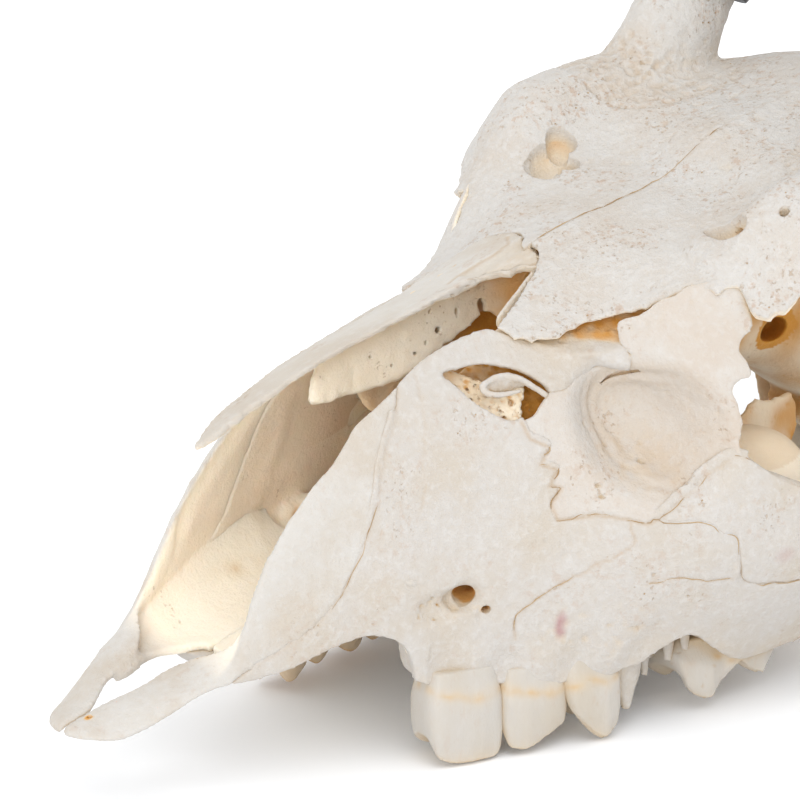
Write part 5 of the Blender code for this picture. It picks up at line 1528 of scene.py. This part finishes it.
forehead_bone = bone_finish("forehead_bone", ivory=(0.535, 0.512, 0.482),
                            warm=(0.52, 0.475, 0.425), pores=0.8, mottle=0.6, relief=0.00045)
for side, tag in BOTH_SIDES:
    front = LEFT_FRONT if side > 0 else RIGHT_FRONT
    edge = closed_line(ragged(front, 0.06, 22, 0.5),
                       ragged(LEFT_BROW_EDGE if side > 0 else RIGHT_BROW_EDGE, 0.26, 18, 0.42),
                       ragged(BROW_RIM, 0.16, 19, 0.5), rounded(FOREHEAD_HIND, 1.0),
                       rounded(MIDDLE_SEAM[:-1] + front[:1]))
    hole_x, hole_d, half_x, half_d = BROW_HOLES[side]
    hole_z = float(roof_form(hole_d, hole_x))
    skins = [sheet_of_bone(edge, roof_form, forehead_thick, False, side),
             skin_over([horn_ring(t, float(read_off(CORE_RADII, t)), side)
                        for t in np.arange(-0.5, 15.8, 0.6)]),
             bar_of_bone(POST_BAR, POST_BAR_HALF, side),
             oval((hole_x * side, hole_d, hole_z - 3.4), (half_x + 3.0, half_d + 3.0, 2.6))]
    if side > 0:
        plate = [(x, d, float(roof_form(d, x)) - INNER_PLATE_UNDER) for x, d in INNER_PLATE]
        bed = [(0, d, float(roof_form(d, 0)) - 0.62) for d in np.arange(57.5, 99, 3.0)]
        skins += [bar_of_bone(plate, ((0.35, 1.0),) * len(plate)),
                  bar_of_bone(bed, ((0.9, 0.52),) * len(bed), 1, 12, 3)]
    piece = grown("frontal_%s_bone" % tag, skins)
    holes = [oval((hole_x * side, hole_d - 0.3, hole_z + 0.4), (half_x, half_d, BROW_FLOOR))]
    if side > 0:
        small_x, small_d, small_r = SMALL_BROW_HOLE
        small_z = float(roof_form(small_d, small_x))
        holes += [bar_of_bone(((hole_x + 0.9, hole_d, hole_z - 0.6),
                               (hole_x + 1.6, hole_d + 2.4, hole_z - 1.2)), (0.9, 0.6), side),
                  bar_of_bone(((small_x, small_d, small_z + 1),
                               (small_x - 0.4, small_d + 0.8, small_z - 1.6)), (small_r, small_r))]
    else:
        holes += [oval((-x, d, float(roof_form(d, x)) + 0.4), (half_x, half_d, deep))
                  for x, d, half_x, half_d, deep in BROW_LOBES]
    bored(piece, holes)
    weathered(piece, BONE_LUMP, forehead_marks)
    settled(piece, forehead_bone, "bone", "frontal_" + tag)


# Horn sheaths.
# Black horn, ringed near the base and drawn out to a fine smooth point. Each sheath is hollow at
# its foot, where it is slipped over the core.

SHEATH_RADII = ((0.0, 5.8), (0.8, 6.1), (10.0, 5.9), (24.0, 5.5), (40.0, 5.0), (56.0, 4.1),
                (68.0, 2.8), (76.0, 1.7), (80.4, 0.8), (SHEATH_LENGTH, 0.3))
RING_PITCH = 2.9
RING_HIGH = 0.16
RINGED_TO = 30.0
HORN_BLACK = (0.010, 0.009, 0.008)
HORN_WORN = (0.022, 0.018, 0.015)

black_horn = bpy.data.materials.new("black_horn")
black_horn.use_nodes = True
nodes = black_horn.node_tree.nodes
links = black_horn.node_tree.links
shader = nodes["Principled BSDF"]
place = nodes.new("ShaderNodeTexCoord")
stretch = nodes.new("ShaderNodeMapping")
stretch.inputs["Scale"].default_value = (1400, 1400, 90)
strands = nodes.new("ShaderNodeTexNoise")
strands.inputs["Detail"].default_value = 5
wear = nodes.new("ShaderNodeMix")
wear.data_type = "RGBA"
wear.inputs[6].default_value = (*HORN_BLACK, 1)
wear.inputs[7].default_value = (*HORN_WORN, 1)
links.new(place.outputs["Object"], stretch.inputs["Vector"])
links.new(stretch.outputs["Vector"], strands.inputs["Vector"])
links.new(strands.outputs["Fac"], wear.inputs["Factor"])
links.new(wear.outputs[2], shader.inputs["Base Color"])
strand_bump = nodes.new("ShaderNodeBump")
strand_bump.inputs["Strength"].default_value = 0.5
strand_bump.inputs["Distance"].default_value = 0.0002
links.new(strands.outputs["Fac"], strand_bump.inputs["Height"])
links.new(strand_bump.outputs["Normal"], shader.inputs["Normal"])
shader.inputs["Roughness"].default_value = 0.45
shader.inputs["Specular IOR Level"].default_value = 0.18
for side, tag in BOTH_SIDES:
    rings = [horn_ring(SHEATH_RIM + SOCKET_DEEP, 4.7, side), horn_ring(SHEATH_RIM + 0.2, 4.9, side)]
    for t in np.arange(0.0, SHEATH_LENGTH + 0.1, 0.41):
        radius = float(read_off(SHEATH_RADII, t))
        ringed = faded(1 - t / RINGED_TO) * faded(t / 3)
        radius += RING_HIGH * ringed * math.sin(2 * math.pi * t / RING_PITCH + math.sin(t * 0.7))
        rings.append(horn_ring(SHEATH_RIM + min(t, SHEATH_LENGTH), radius, side))
    sheath = mesh_of("horn_sheath_%s_horn" % tag, [skin_over(rings)])
    weathered(sheath, 0.035)
    settled(sheath, black_horn, "horn", "horn_sheath_" + tag)


# Braincase.
# One fused piece of bone: the walls between the eyes, the case itself, the base with its palate
# wings, ear bubbles and neck joints, the arches in front of the ears and the two feet it rests on.

# Closed sections along the case: D, half width, top Z, bottom Z.
CASE = ((56.0, 2.0, 42.0, 34.0), (58.0, 6.4, 42.4, 30.6), (62.0, 8.8, 43.2, 28.0),
        (66.0, 9.4, 44.2, 27.6), (70.0, 10.0, 44.9, 27.8), (76.0, 9.2, 46.6, 28.2),
        (82.0, 8.4, 48.8, 27.2), (88.0, 9.4, 51.0, 23.4), (94.0, 13.0, 51.6, 19.0),
        (99.8, 18.0, 52.6, 16.4), (100.6, 18.6, 55.0, 16.0), (106.0, 21.6, 54.6, 14.0),
        (113.0, 22.6, 51.6, 12.6), (120.0, 22.2, 48.4, 12.0), (127.0, 20.4, 44.4, 11.6),
        (132.0, 18.6, 40.6, 11.6), (136.0, 16.4, 36.6, 12.4), (138.4, 12.6, 32.4, 14.6))
CASE_POWER = 2.3
CASE_AROUND = 96
NAPE = ((-16.6, 131.0, 32.0), (-10.6, 135.0, 36.0), (0.0, 136.8, 37.2), (10.6, 135.0, 36.0),
        (16.6, 131.0, 32.0))
BASE = ((0, 90.0, 21.4), (0, 100.0, 17.0), (0, 120.0, 13.6), (0, 134.0, 15.0))
BASE_HALF = ((3.0, 2.0), (4.5, 3.0), (6.5, 3.5), (7.5, 4.0))
VOMER = ((42.0, 17.2), (50.0, 17.0), (68.0, 17.6), (78.0, 19.0), (78.0, 30.0), (68.0, 31.0),
         (58.0, 32.0), (48.0, 23.0))
VOMER_HALF = 0.5
WING = ((90.0, 24.0), (94.0, 22.6), (98.0, 20.0), (100.0, 17.0), (98.0, 10.0), (94.0, 8.0),
        (92.6, 11.0), (91.6, 17.0))
ORBIT_PLATE = ((74.1, 25.2), (76.8, 26.9), (80.4, 26.4), (83.4, 25.6), (83.4, 20.6), (79.0, 22.0),
               (76.0, 24.0))
NECK_JOINT = (7.6, 136.6, 18.2)
NECK_JOINT_HALF = (5.2, 5.4, 6.4)
EAR_BUBBLE = (12.6, 116.5, 10.4)
EAR_BUBBLE_HALF = (5.2, 7.6, 7.4)
FOOT = ((17.0, 128.0, 20.0), (17.2, 128.2, 12.0), (16.4, 126.6, 5.0), (15.6, 125.0, 0.0))
FOOT_HALF = ((4.4, 3.4), (3.6, 2.6), (2.6, 1.7), (1.5, 0.9))
EAR_ARCH = ((19.0, 113.0, 22.0), (25.6, 111.6, 21.6), (27.6, 109.6, 21.0), (27.4, 105.4, 20.6))
EAR_ARCH_HALF = ((4.6, 3.0), (2.2, 2.4), (1.6, 2.2), (1.2, 1.9))
EAR_PIPE = ((17.0, 118.4, 17.0), (22.6, 118.6, 18.0), (24.6, 118.6, 18.6))
EAR_PIPE_HALF = (3.4, 2.6, 2.4)
SPINE_HOLE = (0, 138.0, 25.2)
SPINE_HOLE_HALF = (6.2, 14.0, 6.0)
EYE_NERVE_HOLE = ((12.5, 80.0, 33.1), (7.6, 81.2, 32.8), (3.6, 82.4, 32.5))
EYE_NERVE_BORE = ((1.75, 1.5), (1.7, 1.45), (1.5, 1.2))
EAR_HOLE = ((27.0, 118.6, 18.9), (19.0, 118.4, 17.6))
EAR_HOLE_BORE = (1.6, 1.2)
SIDE_RIDGE = ((17.5, 99.0, 48.0), (20.2, 108.0, 46.0), (19.6, 120.0, 42.0), (17.4, 131.0, 36.0))
SIDE_RIDGE_HALF = (1.4, 1.7, 1.6, 1.2)
CROWN_SEAM = ((116.0, -24.0), (118.5, -9.0), (117.0, 0.0), (118.5, 9.0), (116.0, 24.0))


def case_ring(d):
    """One closed section of the braincase."""
    half, top, bottom = steady([row[0] for row in CASE], np.array([row[1:] for row in CASE]), d)
    c, s = squared(CASE_AROUND, 2 / CASE_POWER)
    return np.stack([half * c, np.full(CASE_AROUND, d),
                     (top + bottom) / 2 + (top - bottom) / 2 * s], 1)


def wing_form(d, z):
    """The palate wing, spreading a little as it goes back."""
    return 5.4 + 0.06 * (d - 84.0)


def case_marks(points, normals):
    """Painted warm walls behind the eyes, seams over the case, and rough bone at the nape.

    The walls behind the eyes get painted shade and the lighter painted inner colour.
    """
    x, d, z = points.T
    # Painted shade and painted light: the walls of the eye sockets get ochre and the lighter inner
    # colour.
    socket = faded((98.0 - d) / 6.0)
    above = (normals[:, 2] > 0.2) * (d > 101)
    seam = 0.7 * line_mask(d + 0.5 * np.sin(x * 1.9), x, CROWN_SEAM, 0.4) * above
    seam = np.maximum(seam, 0.5 * line_mask(d, x, ((101.0, 0.0), (117.0, 0.0)), 0.3) * above)
    nape = faded((d - 130.0) / 5.0)
    rough = uneven(points, 0.7, 161)
    pores = faded(uneven(points, 0.5, 163) * 2.0 - 1.0)
    nerve = (np.hypot(d - 81.4, z - 32.8) < 2.4) * faded((8.9 - np.abs(x)) / 0.5) * (np.abs(x) > 2)
    ochre = (0.56 * socket * (1.0 + 0.6 * uneven(points, 3.0, 165)) + 0.15 * pores + 0.08 * nape
             + 0.7 * nerve)
    height = 0.06 * rough * (nape + 0.4) - 0.12 * seam - 0.10 * pores
    return ochre, 0.7 * seam, 0 * x, 0.85 * socket, height


case_bone = bone_finish("case_bone", ivory=(0.54, 0.49, 0.43), warm=(0.53, 0.46, 0.37), pores=0.55,
                        mottle=0.45)
skins = [skin_over([case_ring(d) for d in np.arange(CASE[0][0], CASE[-1][0], 0.7)]),
         bar_of_bone(NAPE, ((1.6, 1.2),) * 5),
         bar_of_bone(BASE, BASE_HALF),
         sheet_of_bone(ring_of(VOMER, 1.5), lambda d, z: VOMER_HALF + 0 * d,
                       VOMER_HALF * 2, True, 1, 1.5)]
holes = [oval(SPINE_HOLE, SPINE_HOLE_HALF)]
for side in (1, -1):
    skins += [oval((NECK_JOINT[0] * side, *NECK_JOINT[1:]), NECK_JOINT_HALF),
              oval((EAR_BUBBLE[0] * side, *EAR_BUBBLE[1:]), EAR_BUBBLE_HALF),
              bar_of_bone(FOOT, FOOT_HALF, side), bar_of_bone(EAR_ARCH, EAR_ARCH_HALF, side),
              bar_of_bone(EAR_PIPE, EAR_PIPE_HALF, side),
              bar_of_bone(SIDE_RIDGE, SIDE_RIDGE_HALF, side),
              sheet_of_bone(ring_of(WING, 1.0), wing_form, 1.1, True, side, 1.2),
              sheet_of_bone(closed_line(ragged(ORBIT_PLATE + ORBIT_PLATE[:1], 0.2, 27)),
                            lambda d, z: 11.0 - 0.25 * (d - 74), 0.7, True, side)]
    holes += [bar_of_bone(EYE_NERVE_HOLE, EYE_NERVE_BORE, side),
              bar_of_bone(EAR_HOLE, EAR_HOLE_BORE, side)]
piece = grown("braincase_bone", skins, GRAIN_OF_MESH * 1.3)
bored(piece, holes)
weathered(piece, BONE_LUMP, case_marks)
settled(piece, case_bone, "bone", "braincase")


# Dried matter in the seams.
# Brown dried tissue left in the seams and cracks when the skull was cleaned, broken into short
# lengths. Modelled as fine strips that lie in the line of each seam.

THREAD_HALF = (0.025, 0.06)
THREAD_RUN = (4, 18)
THREAD_SEED = 500
# Line, its steps as on the bones, and the share of it that is filled.
SIDE_THREADS = ((TEAR_SEAM, TEAR_STEPS, 0.9), (CHEEK_SEAM[:-2], CHEEK_STEPS, 0.9),
                (TEAR_CHEEK_SEAM, TEAR_CHEEK_STEPS, 0.6), (OLD_SEAM, OLD_STEPS, 0.7),
                (CHEEK_CRACK, CRACK_STEPS, 0.75), (SNOUT_SEAM[4:], SNOUT_STEPS, 0.35))
MIDDLE_STEPS = (0.10, 25, 0.55)
MIDDLE_FILLED = 0.95
THREAD_BROWN = (0.44, 0.30, 0.16)
THREAD_DARK = (0.28, 0.17, 0.08)


def threads(line, steps, share, side, form, from_side):
    """The strips of one seam, in seeded lengths with gaps."""
    points = ragged(line, *steps)
    rng = np.random.default_rng(steps[1] + THREAD_SEED)
    made = []
    start = 0
    while start < len(points) - 1:
        run = int(rng.integers(*THREAD_RUN))
        part = points[start:start + run + 1]
        start += run
        if len(part) < 2 or rng.random() > share:
            continue
        a, b = part.T + rng.normal(0, 0.03, (2, len(part)))
        c = form(a, b) - 0.03
        path = np.stack([c, a, b] if from_side else [b, a, c], 1)
        half = rng.uniform(*THREAD_HALF, len(part))
        half[[0, -1]] *= 0.4
        made.append(bar_of_bone(path, list(half), side, 6, 2))
    return made


dried = bone_finish("dried_matter", ivory=THREAD_BROWN, warm=THREAD_DARK, pores=0.0, mottle=0.0)
for side, tag in BOTH_SIDES:
    strips = []
    for line, steps, share in SIDE_THREADS:
        strips += threads(line, steps, share, side, side_form, True)
    if side > 0:
        strips += threads(MIDDLE_SEAM[1:], MIDDLE_STEPS, MIDDLE_FILLED, 1, roof_form, False)
    lines = mesh_of("seam_threads_" + tag, strips)
    weathered(lines, 0.01)
    settled(lines, dried, "bone")


# Table, light and camera.
# A plain pale board under the skull in a white surround, lit by two soft boxes, one high on the
# left and one low before the snout. The face is seen from the left and a little above.

BOARD_HALF = 1.6
BOARD_PAPER = (0.95, 0.968, 0.995)
SURROUND_LIGHT = 1.15
# Soft boxes as watts, place and width in metres.
SOFT_BOXES = ((4.0, (0.55, -0.35, 1.15), 0.9), (5.0, (0.75, -1.05, 0.35), 0.7))
# The directions of the camera's right, up and back towards the viewer, in metres of the world.
CAMERA_RIGHT = (0.637, 0.771, 0.011)
CAMERA_UP = (-0.276, 0.214, 0.937)
CAMERA_BACK = (0.720, -0.600, 0.349)
CAMERA_AWAY = 0.900
CAMERA_AIM = (0.0, 60.0 - MIDDLE_D, 30.0)
CAMERA_LENS = 410.0
FILM_WIDE = 36.0
CAMERA_SHIFT = (-0.196, -0.0254)

board = bpy.data.meshes.new("board")
board.from_pydata([(-BOARD_HALF, -BOARD_HALF, 0), (BOARD_HALF, -BOARD_HALF, 0),
                   (BOARD_HALF, BOARD_HALF, 0), (-BOARD_HALF, BOARD_HALF, 0)], [], [(0, 1, 2, 3)])
paper = bpy.data.materials.new("board_paper")
paper.use_nodes = True
paper.node_tree.nodes["Principled BSDF"].inputs["Base Color"].default_value = (*BOARD_PAPER, 1)
paper.node_tree.nodes["Principled BSDF"].inputs["Roughness"].default_value = 0.9
board.materials.append(paper)
table_top = bpy.data.objects.new("board", board)
bpy.context.scene.collection.objects.link(table_top)

world = bpy.data.worlds.new("surround")
bpy.context.scene.world = world
world.use_nodes = True
world.node_tree.nodes["Background"].inputs["Color"].default_value = (1, 1, 1, 1)
world.node_tree.nodes["Background"].inputs["Strength"].default_value = SURROUND_LIGHT

for watts, stand, wide in SOFT_BOXES:
    lamp = bpy.data.lights.new("soft_box", "AREA")
    lamp.energy = watts
    lamp.size = wide
    soft_box = bpy.data.objects.new("soft_box", lamp)
    soft_box.location = stand
    soft_box.rotation_euler = (-Vector(stand)).to_track_quat("-Z", "Y").to_euler()
    bpy.context.scene.collection.objects.link(soft_box)

lens = bpy.data.cameras.new("portrait")
lens.lens = CAMERA_LENS
lens.sensor_width = FILM_WIDE
lens.shift_x, lens.shift_y = CAMERA_SHIFT
lens.clip_end = 10
camera = bpy.data.objects.new("portrait", lens)
bpy.context.scene.collection.objects.link(camera)
right, up, back_to = (Vector(v).normalized() for v in (CAMERA_RIGHT, CAMERA_UP, CAMERA_BACK))
turned = Matrix((right, up, back_to)).transposed().to_4x4()
turned.translation = Vector(CAMERA_AIM) * MM + back_to * CAMERA_AWAY
camera.matrix_world = turned
bpy.context.scene.camera = camera
bpy.context.scene.view_settings.view_transform = "Standard"
